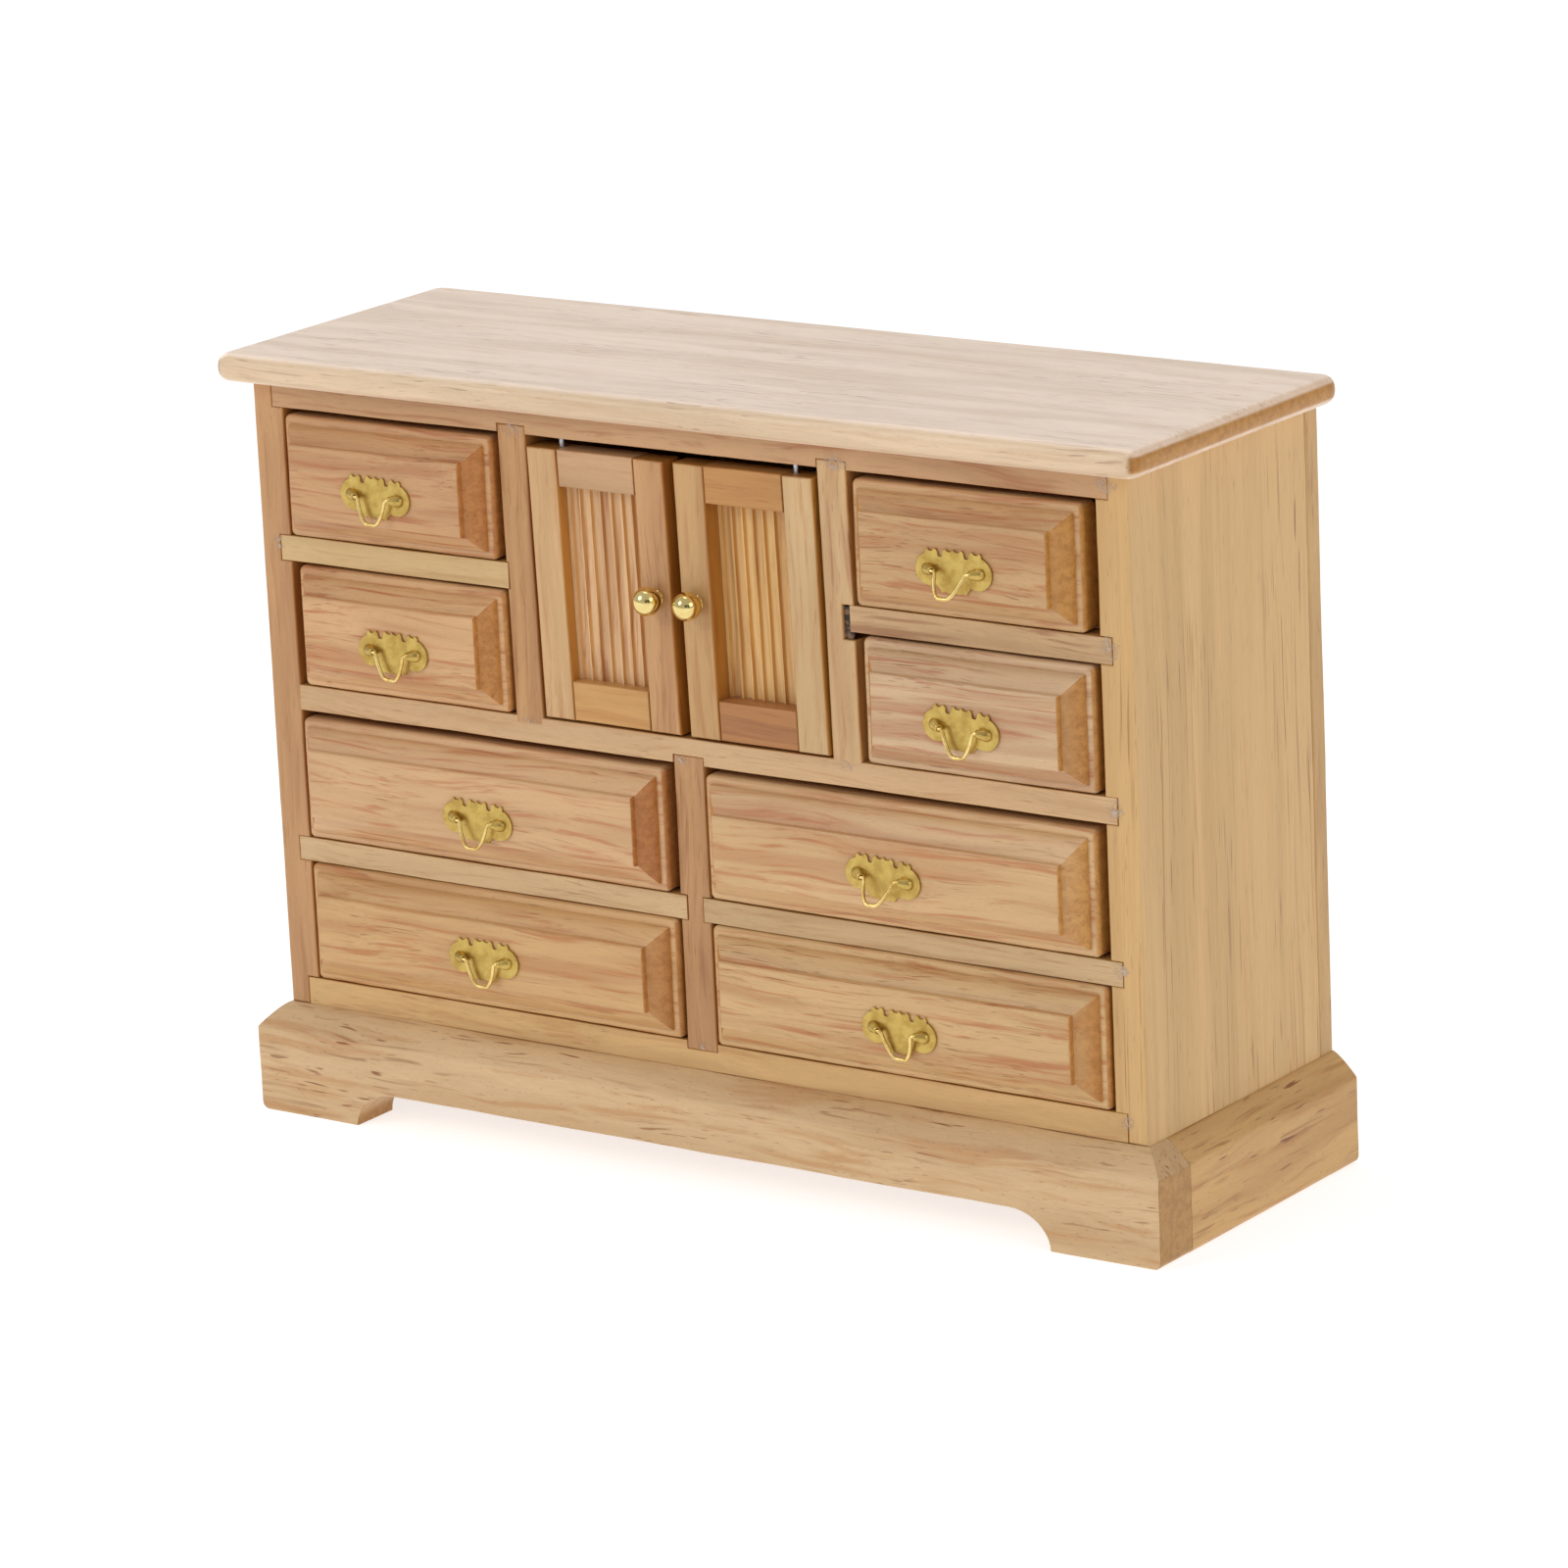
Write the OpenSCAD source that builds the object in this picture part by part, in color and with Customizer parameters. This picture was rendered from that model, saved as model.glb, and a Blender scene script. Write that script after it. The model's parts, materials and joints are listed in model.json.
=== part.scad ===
// Miniature chest of drawers: eight drawers around a two-door cupboard, on a plinth.
// Every board, drawer, door and brass fitting is a separate solid.
// X runs across the front, Y runs from front to back and Z is up, in millimetres.
// The origin is the bottom centre of the whole chest.

/* [Case] */
// Width of the case over its side panels
case_w = 122; // [118:1:130]
// Depth of the case from its front edges to its back
case_d = 40; // [36:1:48]
// Thickness of the side panels
side_t = 4.3; // [3.8:0.1:4.8]
// Thickness of the back panel
back_t = 2.8; // [2:0.1:3.5]
// Thickness of the two uprights beside the cupboard
divider_t = 4; // [3.6:0.1:4.4]
// Thickness of the short upright between the wide drawers
centre_t = 4.3; // [3.8:0.1:4.8]
// Width of the cupboard opening
cupboard_w = 40.8; // [40:0.2:42]
// How far the cupboard stands to the left of the chest's middle
cupboard_shift = 0.4; // [0:0.1:0.6]
// How far a shelf is let into a side panel
housing = 1.6; // [1:0.1:2]
// How far a board is let into a divider or a shelf
shallow_housing = 1; // [0.6:0.1:1.3]

/* [Top board] */
// Thickness of the top board
top_t = 3.4; // [2.8:0.1:4]
// Overhang of the top board at its sides
top_side_overhang = 3.1; // [2.5:0.1:5]
// Overhang of the top board at the front
top_front_overhang = 3.7; // [3:0.1:5]
// Radius of the rounded edges of the top board
top_edge_r = 1.35; // [0.8:0.05:1.4]

/* [Plinth] */
// Height of the plinth
plinth_h = 13.2; // [12:0.1:16]
// Thickness of the plinth boards
plinth_t = 6.8; // [6:0.1:8]
// How far the plinth stands out past the case
plinth_out = 3.1; // [2.4:0.1:4]
// Width of the arch in the plinth front
arch_w = 99; // [80:1:104]
// Height of the arch in the plinth front
arch_h = 4.4; // [4.2:0.1:6]

/* [Drawers] */
// How far a drawer front's raised panel stands out past its edge moulding
panel_out = 2.8; // [2:0.1:3]
// Thickness of a drawer front behind its edge moulding
front_t = 2.8; // [2.2:0.1:3.4]
// Thickness of the drawer sides and back
drawer_side_t = 2; // [1.5:0.1:2.5]
// Thickness of the drawer bottoms
drawer_bottom_t = 1.2; // [0.8:0.1:1.6]
// Gap under each drawer
drawer_gap = 0.1; // [0.08:0.01:0.1]

/* [Doors] */
// Thickness of the door frames
door_t = 3.4; // [3:0.1:3.6]
// Width of the door stiles
stile_w = 4.2; // [3.8:0.1:4.5]
// Height of the door's top rail
door_top_rail_h = 4.4; // [4:0.1:5]
// Height of the door's bottom rail
door_bottom_rail_h = 4.7; // [4:0.1:5.5]
// Distance from one flute to the next on the door panels
flute_pitch = 1.47; // [1.4:0.01:1.5]
// Diameter of the brass ball knobs
knob_d = 3.4; // [3:0.1:3.6]

/* [Drawer pulls] */
// Width of a pull's back plate
plate_w = 10.1; // [9.6:0.1:10.4]
// Thickness of a pull's back plate
plate_t = 0.3; // [0.25:0.01:0.4]
// Distance between the two posts of a pull
post_span = 6.1; // [6:0.1:6.2]
// Diameter of the bail wire
wire_d = 0.4; // [0.36:0.01:0.42]
// How far a bail hangs below its posts
bail_drop = 3.1; // [2.9:0.1:3.3]

/* [Hidden] */
$fn = 32;
eps = 0.01;

// Levels of the case, from the plinth upwards
shelf_z = [plinth_h, 31.3, 50, 68.2, 86.8];
shelf_t = [3.4, 2.9, 3.1, 3.1, 3.2];
case_top = shelf_z[4] + shelf_t[4];
board_d = case_d - back_t;

inner_x = case_w / 2 - side_t;
divider_in = cupboard_w / 2;
divider_out = divider_in + divider_t;
edge_r = 0.4;

// Door sizes and hinge line
door_w = cupboard_w / 2 - 1.1;
door_side_gap = 0.4;
door_z = shelf_z[2] + shelf_t[2] + 0.3;
door_h = 32.1;
door_face = -0.2;
door_outer = divider_in - door_side_gap;
pin_x = door_outer - 3.6;
pin_y = door_face + door_t / 2;
pin_r = 0.35;
pin_gap = 0.05;
pin_in_door = 2.4;
pin_in_case = 1.4;
panel_rebate = 0.8;
panel_recess = [1.6, 2.5];
flute_d = 0.4;
flute_edge = 0.27;
fluted_t = 0.45;
knob_z = door_z + 16;
knob_from_edge = 2.1;
knob_gap = 0.1;
nail_r = 0.3;

// Pull geometry, measured from the face of the drawer front
post_r = 0.5;
post_head_r = 0.7;
post_out = 1;
bore_r = wire_d / 2 + 0.05;
bore_end = 0.45;
post_foot_r = 1.25;
post_foot_h = 0.15;
bail_bend_r = 0.65;
bail_half = 1.7;
bail_foot_r = 1.5;
post_pin_len = 2.2;
post_pin_r = 0.3;

// Drawer fronts stand a little proud of the case. Each drawer is [centre x, bottom z, width, height,
// forward swing of its bail in degrees, offset of its pull in x, offset of its pull in z,
// width of its moulding at the left, right, bottom and top]
lip_face = -0.3;
small_w = 30.6;
wide_w = 53.2;
fit_w = 54;
small_x = (inner_x + divider_out) / 2;
wide_x = (inner_x + centre_t / 2) / 2;
drawers = [
    [-small_x - 0.65, shelf_z[3] + shelf_t[3], small_w, 14.7, 4, 0.3, -0.55, [2.8, 3, 3.2, 3]],
    [-small_x + 0.15, shelf_z[2] + shelf_t[2], small_w, 14.7, 3, 0.8, -0.9, [2.8, 2.7, 3.4, 3]],
    [small_x - 0.75, shelf_z[3] + shelf_t[3], small_w, 14.7, 33, 0.25, -1.1, [2.9, 3.2, 3.3, 3.1]],
    [small_x, shelf_z[2] + shelf_t[2], small_w + 0.2, 14.7, 2, -0.35, -0.9, [2.9, 3.3, 3.2, 3.3]],
    [-wide_x - 0.5, shelf_z[1] + shelf_t[1], wide_w, 14.9, 8, 1.4, -1.15, [2.9, 3, 3.7, 3.3]],
    [-wide_x - 0.1, shelf_z[0] + shelf_t[0], fit_w, 14.5, -2, 0.8, -0.35, [2.9, 3.4, 3.7, 3.3]],
    [wide_x - 0.5, shelf_z[1] + shelf_t[1], wide_w, 14.9, 34, -0.1, -0.7, [2.9, 3.6, 3.2, 4.1]],
    [wide_x - 0.1, shelf_z[0] + shelf_t[0], fit_w, 14.5, -6, 0.85, -0.8, [2.9, 3.6, 3.5, 3.4]]
];
box_end = board_d - 1.5;
box_h = 11.6;
box_inset = 0.3;

// The furthest forward point is the bail that swings out most; the furthest back is the top board
top_back = case_d + 0.2;
swing = max([for (d = drawers) d[4]]);
front_most = lip_face - panel_out - post_out - bail_drop * sin(swing) - wire_d / 2;
mid_y = (front_most + top_back) / 2;

drawer_ids = [for (i = [1:len(drawers)]) i];
drawer_pieces = ["front", "box", "plate", "bail"];
door_sides = ["left", "right"];
door_pieces = ["stiles", "rails", "panel", "knob"];

honey = [0.83, 0.67, 0.48];
pale = [0.88, 0.76, 0.62];
pink = [0.80, 0.62, 0.46];
amber = [0.76, 0.56, 0.34];
gold = [0.83, 0.69, 0.32];
steel = [0.72, 0.72, 0.74];

// Moves the case frame, whose front edges lie at y = 0, to the origin of the whole chest
module placed() {
    translate([0, -mid_y, 0]) children();
}

// Moves the cupboard's dividers, doors and pins to their place beside the chest's middle
module shifted() {
    translate([-cupboard_shift, 0, 0]) children();
}

// A block between two corners
module block(x0, x1, y0, y1, z0, z1) {
    translate([x0, y0, z0]) cube([x1 - x0, y1 - y0, z1 - z0]);
}

// A flat outline from x0 to x1 and y0 to y1 with all four corners rounded
module round_rect(x0, x1, y0, y1, r) {
    translate([x0 + r, y0]) square([x1 - x0 - 2 * r, y1 - y0]);
    translate([x0, y0 + r]) square([x1 - x0, y1 - y0 - 2 * r]);
    for (x = [x0 + r, x1 - r], y = [y0 + r, y1 - r]) translate([x, y]) circle(r);
}

// An upright board whose two front edges are rounded
module upright(x0, x1, y1, z0, z1) {
    translate([0, 0, z0]) linear_extrude(z1 - z0) {
        round_rect(x0, x1, 0, y1, edge_r);
        translate([x0, edge_r]) square([x1 - x0, y1 - edge_r]);
    }
}

// Extrudes a (y, z) outline along X
module along_x(x0, x1) {
    translate([x0, 0, 0]) rotate([90, 0, 90]) linear_extrude(x1 - x0) children();
}

// Extrudes an (x, z) outline along Y
module along_y(y0, y1) {
    translate([0, y1, 0]) rotate([90, 0, 0]) linear_extrude(y1 - y0) children();
}

// Top board: rounded in plan and bullnosed all round
module top_board() {
    x = case_w / 2 + top_side_overhang;
    color(pale) placed() intersection() {
        translate([0, 0, case_top]) linear_extrude(top_t)
            round_rect(-x, x, -top_front_overhang, top_back, 2);
        along_x(-x, x)
            round_rect(-top_front_overhang, top_back, case_top, case_top + top_t, top_edge_r);
        along_y(-top_front_overhang, top_back)
            round_rect(-x, x, case_top, case_top + top_t, top_edge_r);
    }
}

// Side panel standing on the plinth, with a housing for every shelf; side is -1 or 1
module side_panel(side) {
    difference() {
        scale([side, 1, 1]) upright(inner_x, case_w / 2, board_d, plinth_h, case_top);
        for (i = [0:4])
            scale([side, 1, 1])
                block(inner_x - eps, inner_x + housing, -1, board_d + 1,
                    shelf_z[i], shelf_z[i] + shelf_t[i] + (i == 4 ? eps : 0));
    }
}

module left_side_panel() { color(honey) placed() side_panel(-1); }
module right_side_panel() { color(honey) placed() side_panel(1); }

module back_panel() {
    color(honey) placed()
        block(-case_w / 2, case_w / 2, board_d, case_d, plinth_h, case_top);
}

// A level board from x0 to x1 at shelf level i
module level_board(i, x0, x1) {
    block(x0, x1, 0, board_d, shelf_z[i], shelf_z[i] + shelf_t[i]);
}

// The room that an upright between z0 and z1 takes in a level board
module slot_for(x0, x1, z0, z1) {
    block(x0, x1, -1, board_d + 1, z0, z1);
}

full_x = inner_x + housing;
divider_bottom = shelf_z[2] + shelf_t[2] - shallow_housing;
divider_top = shelf_z[4] + shallow_housing;
centre_bottom = shelf_z[0] + shelf_t[0] - shallow_housing;
centre_top = shelf_z[2] + shallow_housing;

module pin_holes() {
    for (x = [-pin_x, pin_x]) translate([x, pin_y, 0]) cylinder(h = case_top, r = pin_r);
}

module top_rail() {
    color(pink) placed() difference() {
        level_board(4, -full_x, full_x);
        shifted() for (s = [-1, 1])
            scale([s, 1, 1]) slot_for(divider_in, divider_out, shelf_z[4] - 1, divider_top);
        shifted() intersection() {
            pin_holes();
            block(-pin_x - 2, pin_x + 2, 0, 4, shelf_z[4] - 1, shelf_z[4] + pin_in_case);
        }
    }
}

module middle_shelf() {
    color(honey) placed() difference() {
        level_board(2, -full_x, full_x);
        shifted() for (s = [-1, 1])
            scale([s, 1, 1]) slot_for(divider_in, divider_out, divider_bottom, door_z + 1);
        slot_for(-centre_t / 2, centre_t / 2, shelf_z[2] - 1, centre_top);
        shifted() intersection() {
            pin_holes();
            block(-pin_x - 2, pin_x + 2, 0, 4, shelf_z[2] + shelf_t[2] - pin_in_case, door_z);
        }
    }
}

module bottom_shelf() {
    color(honey) placed() difference() {
        level_board(0, -full_x, full_x);
        slot_for(-centre_t / 2, centre_t / 2, centre_bottom, shelf_z[1]);
    }
}

// The shelf beside the left divider is only just let into it
slight_housing = 0.3;

module left_divider() {
    color(pink) placed() shifted() difference() {
        upright(-divider_out, -divider_in, board_d, divider_bottom, divider_top);
        block(-divider_out - 1, -divider_out + slight_housing, -1, board_d + 1,
            shelf_z[3], shelf_z[3] + shelf_t[3]);
    }
}

// The right divider's housing was cut a little long and deep, so a notch shows below its shelf
module right_divider() {
    notch_depth = 1.6;
    notch_below = 0.9;
    color(pink) placed() shifted() difference() {
        upright(divider_in, divider_out, board_d, divider_bottom, divider_top);
        block(divider_out - notch_depth, divider_out + 1, -1, board_d + 1,
            shelf_z[3] - notch_below, shelf_z[3] + shelf_t[3]);
    }
}

module centre_divider() {
    color(pink) placed() difference() {
        upright(-centre_t / 2, centre_t / 2, board_d, centre_bottom, centre_top);
        for (s = [-1, 1])
            scale([s, 1, 1])
                block(centre_t / 2 - shallow_housing, centre_t, -1, board_d + 1,
                    shelf_z[1], shelf_z[1] + shelf_t[1]);
    }
}

module upper_left_shelf() {
    color(honey) placed()
        level_board(3, -full_x, -divider_out - cupboard_shift + slight_housing);
}

module upper_right_shelf() {
    color(honey) placed() level_board(3, divider_out - cupboard_shift - 0.6, full_x);
}

module lower_left_shelf() {
    color(honey) placed() level_board(1, -full_x, -centre_t / 2 + shallow_housing);
}

module lower_right_shelf() {
    color(honey) placed() level_board(1, centre_t / 2 - shallow_housing, full_x);
}

// Section of a plinth board: its outer face at 0, with the top edge worked to a rounded slope
slope_h = 2.8;
function plinth_section() = concat(
    [[plinth_t, 0], [plinth_t, plinth_h]],
    [for (i = [8:-1:0]) [plinth_out * i / 8, plinth_h - slope_h * pow(1 - i / 8, 1.35)]],
    [[0, 0.4], [0.4, 0]]
);

// Outline of the plinth front seen from the front, with both ends shaped and the arch cut out
function plinth_outline(half) = let (rise = 5.5, step = 15) concat(
    [for (p = plinth_section()) if (p[0] < plinth_out) [p[0] - half, p[1]]],
    [for (a = [180:-step:90]) [rise * cos(a) - arch_w / 2 + rise, arch_h * sin(a)]],
    [for (a = [90:-step:0]) [rise * cos(a) + arch_w / 2 - rise, arch_h * sin(a)]],
    [for (p = reversed(plinth_section())) if (p[0] < plinth_out) [half - p[0], p[1]]],
    [[half - plinth_out, plinth_h], [plinth_out - half, plinth_h]]
);

function reversed(list) = [for (i = [len(list) - 1:-1:0]) list[i]];

plinth_half = case_w / 2 + plinth_out;

module plinth_front() {
    color(honey) placed() intersection() {
        along_x(-plinth_half, plinth_half)
            translate([-plinth_out, 0]) polygon(plinth_section());
        along_y(-plinth_out, plinth_t - plinth_out)
            polygon(plinth_outline(plinth_half));
        linear_extrude(plinth_h) {
            round_rect(-plinth_half, plinth_half, -plinth_out, plinth_t - plinth_out, 0.8);
            translate([-plinth_half, 0]) square([2 * plinth_half, plinth_t - plinth_out]);
        }
    }
}

// Side board of the plinth, butted behind the front board; side is -1 or 1
module plinth_side(side) {
    scale([side, 1, 1]) along_y(plinth_t - plinth_out, case_d)
        translate([plinth_half, 0]) mirror([1, 0]) polygon(plinth_section());
}

module plinth_left() { color(honey) placed() plinth_side(-1); }
module plinth_right() { color(honey) placed() plinth_side(1); }

module plinth_back() {
    x = plinth_half - plinth_t;
    color(honey) placed() block(-x, x, case_d - plinth_t, case_d, 0, plinth_h);
}

// Four steel pins that the doors turn on, held in the top rail and the middle shelf
module door_pins() {
    door_top = door_z + door_h;
    low = shelf_z[2] + shelf_t[2] - pin_in_case;
    color(steel) placed() shifted() for (x = [-pin_x, pin_x]) {
        translate([x, pin_y, low]) cylinder(h = door_z + pin_in_door - low, r = pin_r);
        translate([x, pin_y, door_top - pin_in_door])
            cylinder(h = shelf_z[4] + pin_in_case - door_top + pin_in_door, r = pin_r);
    }
}

// A door is drawn for the right-hand side, and mirrored for the left
door_x0 = door_outer - door_w;
door_y1 = door_face + door_t;

// Both stiles, rebated behind for the panel and bored for the pins
module stiles(recess) {
    difference() {
        translate([0, 0, door_z]) linear_extrude(door_h) {
            for (x = [door_x0, door_outer - stile_w])
                round_rect(x, x + stile_w, door_face, door_y1, 0.3);
        }
        rebate(recess);
        for (z = [door_z - 1, door_z + door_h - pin_in_door - 0.2])
            translate([pin_x, pin_y, z]) cylinder(h = pin_in_door + 1.2, r = pin_r + pin_gap);
        translate([door_x0 + knob_from_edge, door_face, knob_z]) rotate([-90, 0, 0])
            cylinder(h = 2, r = nail_r);
    }
}

// The space that the panel takes out of the back of the frame
module rebate(recess) {
    block(door_x0 + stile_w - panel_rebate, door_outer - stile_w + panel_rebate,
        door_face + recess + fluted_t, door_y1 + 1,
        door_z + door_bottom_rail_h - panel_rebate,
        door_z + door_h - door_top_rail_h + panel_rebate);
}

module rails(recess) {
    x0 = door_x0 + stile_w;
    x1 = door_outer - stile_w;
    difference() {
        union() {
            block(x0, x1, door_face, door_y1, door_z, door_z + door_bottom_rail_h);
            block(x0, x1, door_face, door_y1,
                door_z + door_h - door_top_rail_h, door_z + door_h);
        }
        rebate(recess);
    }
}

// A thin board with upright flutes where it shows between the rails, and sharp edges between them
module fluted_panel(recess) {
    x0 = door_x0 + stile_w;
    x1 = door_outer - stile_w;
    base = door_face + recess + fluted_t;
    flutes = floor((x1 - x0) / flute_pitch);
    first = (x0 + x1) / 2 - (flutes - 1) * flute_pitch / 2;
    half_w = (flute_pitch - flute_edge) / 2;
    flute_r = (pow(half_w, 2) + pow(flute_d, 2)) / (2 * flute_d);
    block(x0 - panel_rebate, x1 + panel_rebate, base, door_y1,
        door_z + door_bottom_rail_h - panel_rebate,
        door_z + door_h - door_top_rail_h + panel_rebate);
    translate([0, 0, door_z + door_bottom_rail_h])
        linear_extrude(door_h - door_bottom_rail_h - door_top_rail_h)
            difference() {
                translate([x0, base - fluted_t]) square([x1 - x0, fluted_t + eps]);
                for (i = [0:flutes - 1])
                    translate([first + i * flute_pitch, base - fluted_t + flute_d - flute_r])
                        circle(flute_r);
            }
}

// A ball on a short neck, with a nail that holds it in the stile
module ball_knob() {
    translate([door_x0 + knob_from_edge, 0, knob_z]) {
        translate([0, door_face - knob_gap - knob_d / 2, 0]) sphere(d = knob_d, $fn = 48);
        rotate([-90, 0, 0]) translate([0, 0, door_face - 0.8]) cylinder(h = 0.8, r = 0.75);
        rotate([-90, 0, 0]) translate([0, 0, door_face - 0.2]) cylinder(h = 2.2, r = nail_r);
    }
}

module door_side(name) {
    placed() shifted() scale([name == "left" ? -1 : 1, 1, 1]) children();
}

function recess_of(name) = panel_recess[name == "left" ? 0 : 1];

module door_stiles(name) { color(pale) door_side(name) stiles(recess_of(name)); }
module door_rails(name) { color(honey) door_side(name) rails(recess_of(name)); }
module door_panel(name) { color(amber) door_side(name) fluted_panel(recess_of(name)); }
module door_knob(name) { color(gold) door_side(name) ball_knob(); }

// Half section of a drawer front: distance in from its edge, height over the moulding's lip.
// A bead at the edge, a flat, a slightly bulging slope and a fillet, then the raised panel.
bead_r = 0.7;
slope_foot = 0.35;
slope_rise = panel_out - 1.15;
function edge_section() = concat(
    [for (a = [0:15:90]) [bead_r * (1 - cos(a)), bead_r * (sin(a) - 1)]],
    [[1.05, 0]],
    [for (t = [0:0.2:1]) [1.05 + 1.5 * t, slope_foot + slope_rise * pow(t, 0.8)]],
    [[2.6, panel_out - 0.75], [2.65, panel_out - 0.25], [2.8, panel_out]]
);

// The same section worked wider: the bead and the flat keep their size, the rest takes up the width
function worked(width) = let (flat = 1.05) [
    for (p = edge_section())
        [p[0] <= flat ? p[0] : flat + (p[0] - flat) * (width - flat) / (2.8 - flat), p[1]]
];

// Outline across a drawer front of width w, given the widths of the moulding at both ends
function front_outline(w, start, end) = concat(
    [[0, lip_face + front_t]],
    [for (p = worked(start)) [p[0], lip_face - p[1]]],
    [for (p = reversed(worked(end))) [w - p[0], lip_face - p[1]]],
    [[w, lip_face + front_t]]
);

// Moves a drawer piece to its place: x from the drawer's centre, z from its bottom edge
module at_drawer(i) {
    d = drawers[i - 1];
    placed() translate([d[0], 0, d[1] + drawer_gap]) children();
}

// Moves a pull to its place: y = 0 on the raised panel, z = 0 at the posts
module at_pull(i) {
    d = drawers[i - 1];
    at_drawer(i) translate([d[5], lip_face - panel_out, d[3] / 2 + d[6]]) children();
}

// Front board, worked on all four edges so that the mouldings meet in mitres
module drawer_front(i) {
    w = drawers[i - 1][2];
    h = drawers[i - 1][3];
    m = drawers[i - 1][7];
    color(pink) difference() {
        at_drawer(i) intersection() {
            linear_extrude(h) translate([-w / 2, 0]) polygon(front_outline(w, m[0], m[1]));
            along_x(-w / 2, w / 2) polygon([for (p = front_outline(h, m[2], m[3])) [p[1], p[0]]]);
        }
        at_pull(i) post_pins(0);
    }
}

// Open tray behind the front: two sides, a back and a bottom let up between them
module drawer_box(i) {
    x = drawers[i - 1][2] / 2 - box_inset;
    y0 = lip_face + front_t;
    color(honey) at_drawer(i) {
        for (s = [-1, 1]) scale([s, 1, 1]) block(x - drawer_side_t, x, y0, box_end, 0, box_h);
        block(-x, x, box_end - drawer_side_t, box_end, 0, box_h);
        block(-x + drawer_side_t - eps, x - drawer_side_t + eps, y0, box_end - drawer_side_t + eps,
            0.3, 0.3 + drawer_bottom_t);
    }
}

// Half outline of the stamped plate, from the middle of its top edge round to the bottom.
// Three groups of points stand along the top, with a round lobe at the post and a narrow foot.
lobe_r = 1.9;
lobe_x = plate_w / 2 - lobe_r;
function half_plate() = concat(
    [[0, 2.3], [0.35, 2.5], [0.6, 2.28], [1, 2.28], [1.25, 2.5], [1.5, 2.2]],
    [[1.5, 1.8], [1.85, 1.65], [2.2, 1.8], [2.25, 2.25], [2.6, 2.45], [2.85, 2.2], [3.25, 2.4]],
    [[3.6, 2.15], [3.6, 1.85]],
    [for (a = [65:-13:-117]) [lobe_x + lobe_r * cos(a), lobe_r * sin(a)]],
    [[1.85, -2.15], [1.6, -2.6], [1.15, -2.4], [0.7, -2.6], [0, -2.4]]
);

function plate_outline() = concat(
    half_plate(),
    [for (p = reversed(half_plate())) if (p[0] > 0) [-p[0], p[1]]]
);

// The nails that hold the posts to the drawer front; start is their depth in front of the face
module post_pins(start) {
    for (x = [-post_span / 2, post_span / 2])
        translate([x, -start, 0]) rotate([-90, 0, 0])
            cylinder(h = post_pin_len + start, r = post_pin_r);
}

// Bead on the end of a post, turned about the bail's axis and bored from its -x side for the bail
module post_head() {
    rotate([0, 90, 0]) rotate_extrude() difference() {
        intersection() {
            circle(post_head_r);
            translate([0, -post_head_r]) square([post_head_r, 2 * post_head_r]);
        }
        translate([-1, bore_end - 2]) square([1 + bore_r, 2]);
    }
}

// Plate with its two posts, each of them a stem with a flared foot that carries a bored bead
module pull_plate(i) {
    color(gold) at_pull(i) {
        along_y(-plate_t, 0) polygon(plate_outline());
        post_pins(plate_t / 2);
        for (s = [-1, 1]) scale([s, 1, 1]) translate([post_span / 2, 0, 0]) {
            rotate([90, 0, 0]) {
                cylinder(h = post_out - bore_end, r = post_r);
                cylinder(h = plate_t + post_foot_h, r1 = post_foot_r, r2 = post_r);
            }
            translate([0, -post_out, 0]) post_head();
        }
    }
}

// One half of the bail: a straight end in the post, a bend down and a foot to the middle
module half_bail() {
    r = wire_d / 2;
    tip = post_span / 2 + 0.35;
    bend_x = bail_half + bail_bend_r;
    foot_z = -bail_drop + bail_foot_r;
    translate([bend_x, 0, 0]) rotate([0, 90, 0]) cylinder(h = tip - bend_x, r = r);
    translate([bend_x, 0, -bail_bend_r]) rotate([90, 0, 0]) rotate([0, 0, 90])
        rotate_extrude(angle = 90) translate([bail_bend_r, 0]) circle(r);
    translate([bail_half, 0, foot_z]) cylinder(h = -bail_bend_r - foot_z, r = r);
    translate([bail_half - bail_foot_r, 0, foot_z]) rotate([90, 0, 0]) rotate([0, 0, -90])
        rotate_extrude(angle = 90) translate([bail_foot_r, 0]) circle(r);
    translate([0, 0, -bail_drop]) rotate([0, 90, 0])
        cylinder(h = bail_half - bail_foot_r, r = r);
}

module pull_bail(i) {
    color(gold) at_pull(i) translate([0, -post_out, 0]) rotate([-drawers[i - 1][4], 0, 0]) {
        half_bail();
        mirror([1, 0, 0]) half_bail();
    }
}

top_board();
left_side_panel();
right_side_panel();
back_panel();
top_rail();
middle_shelf();
bottom_shelf();
left_divider();
right_divider();
centre_divider();
upper_left_shelf();
upper_right_shelf();
lower_left_shelf();
lower_right_shelf();
plinth_front();
plinth_left();
plinth_right();
plinth_back();
door_pins();

for (side = door_sides) {
    door_stiles(side);
    door_rails(side);
    door_panel(side);
    door_knob(side);
}

for (i = drawer_ids) {
    drawer_front(i);
    drawer_box(i);
    pull_plate(i);
    pull_bail(i);
}
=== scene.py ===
import json
import math
import random

import bmesh
import bpy
from mathutils import Matrix, Vector, noise


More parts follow.
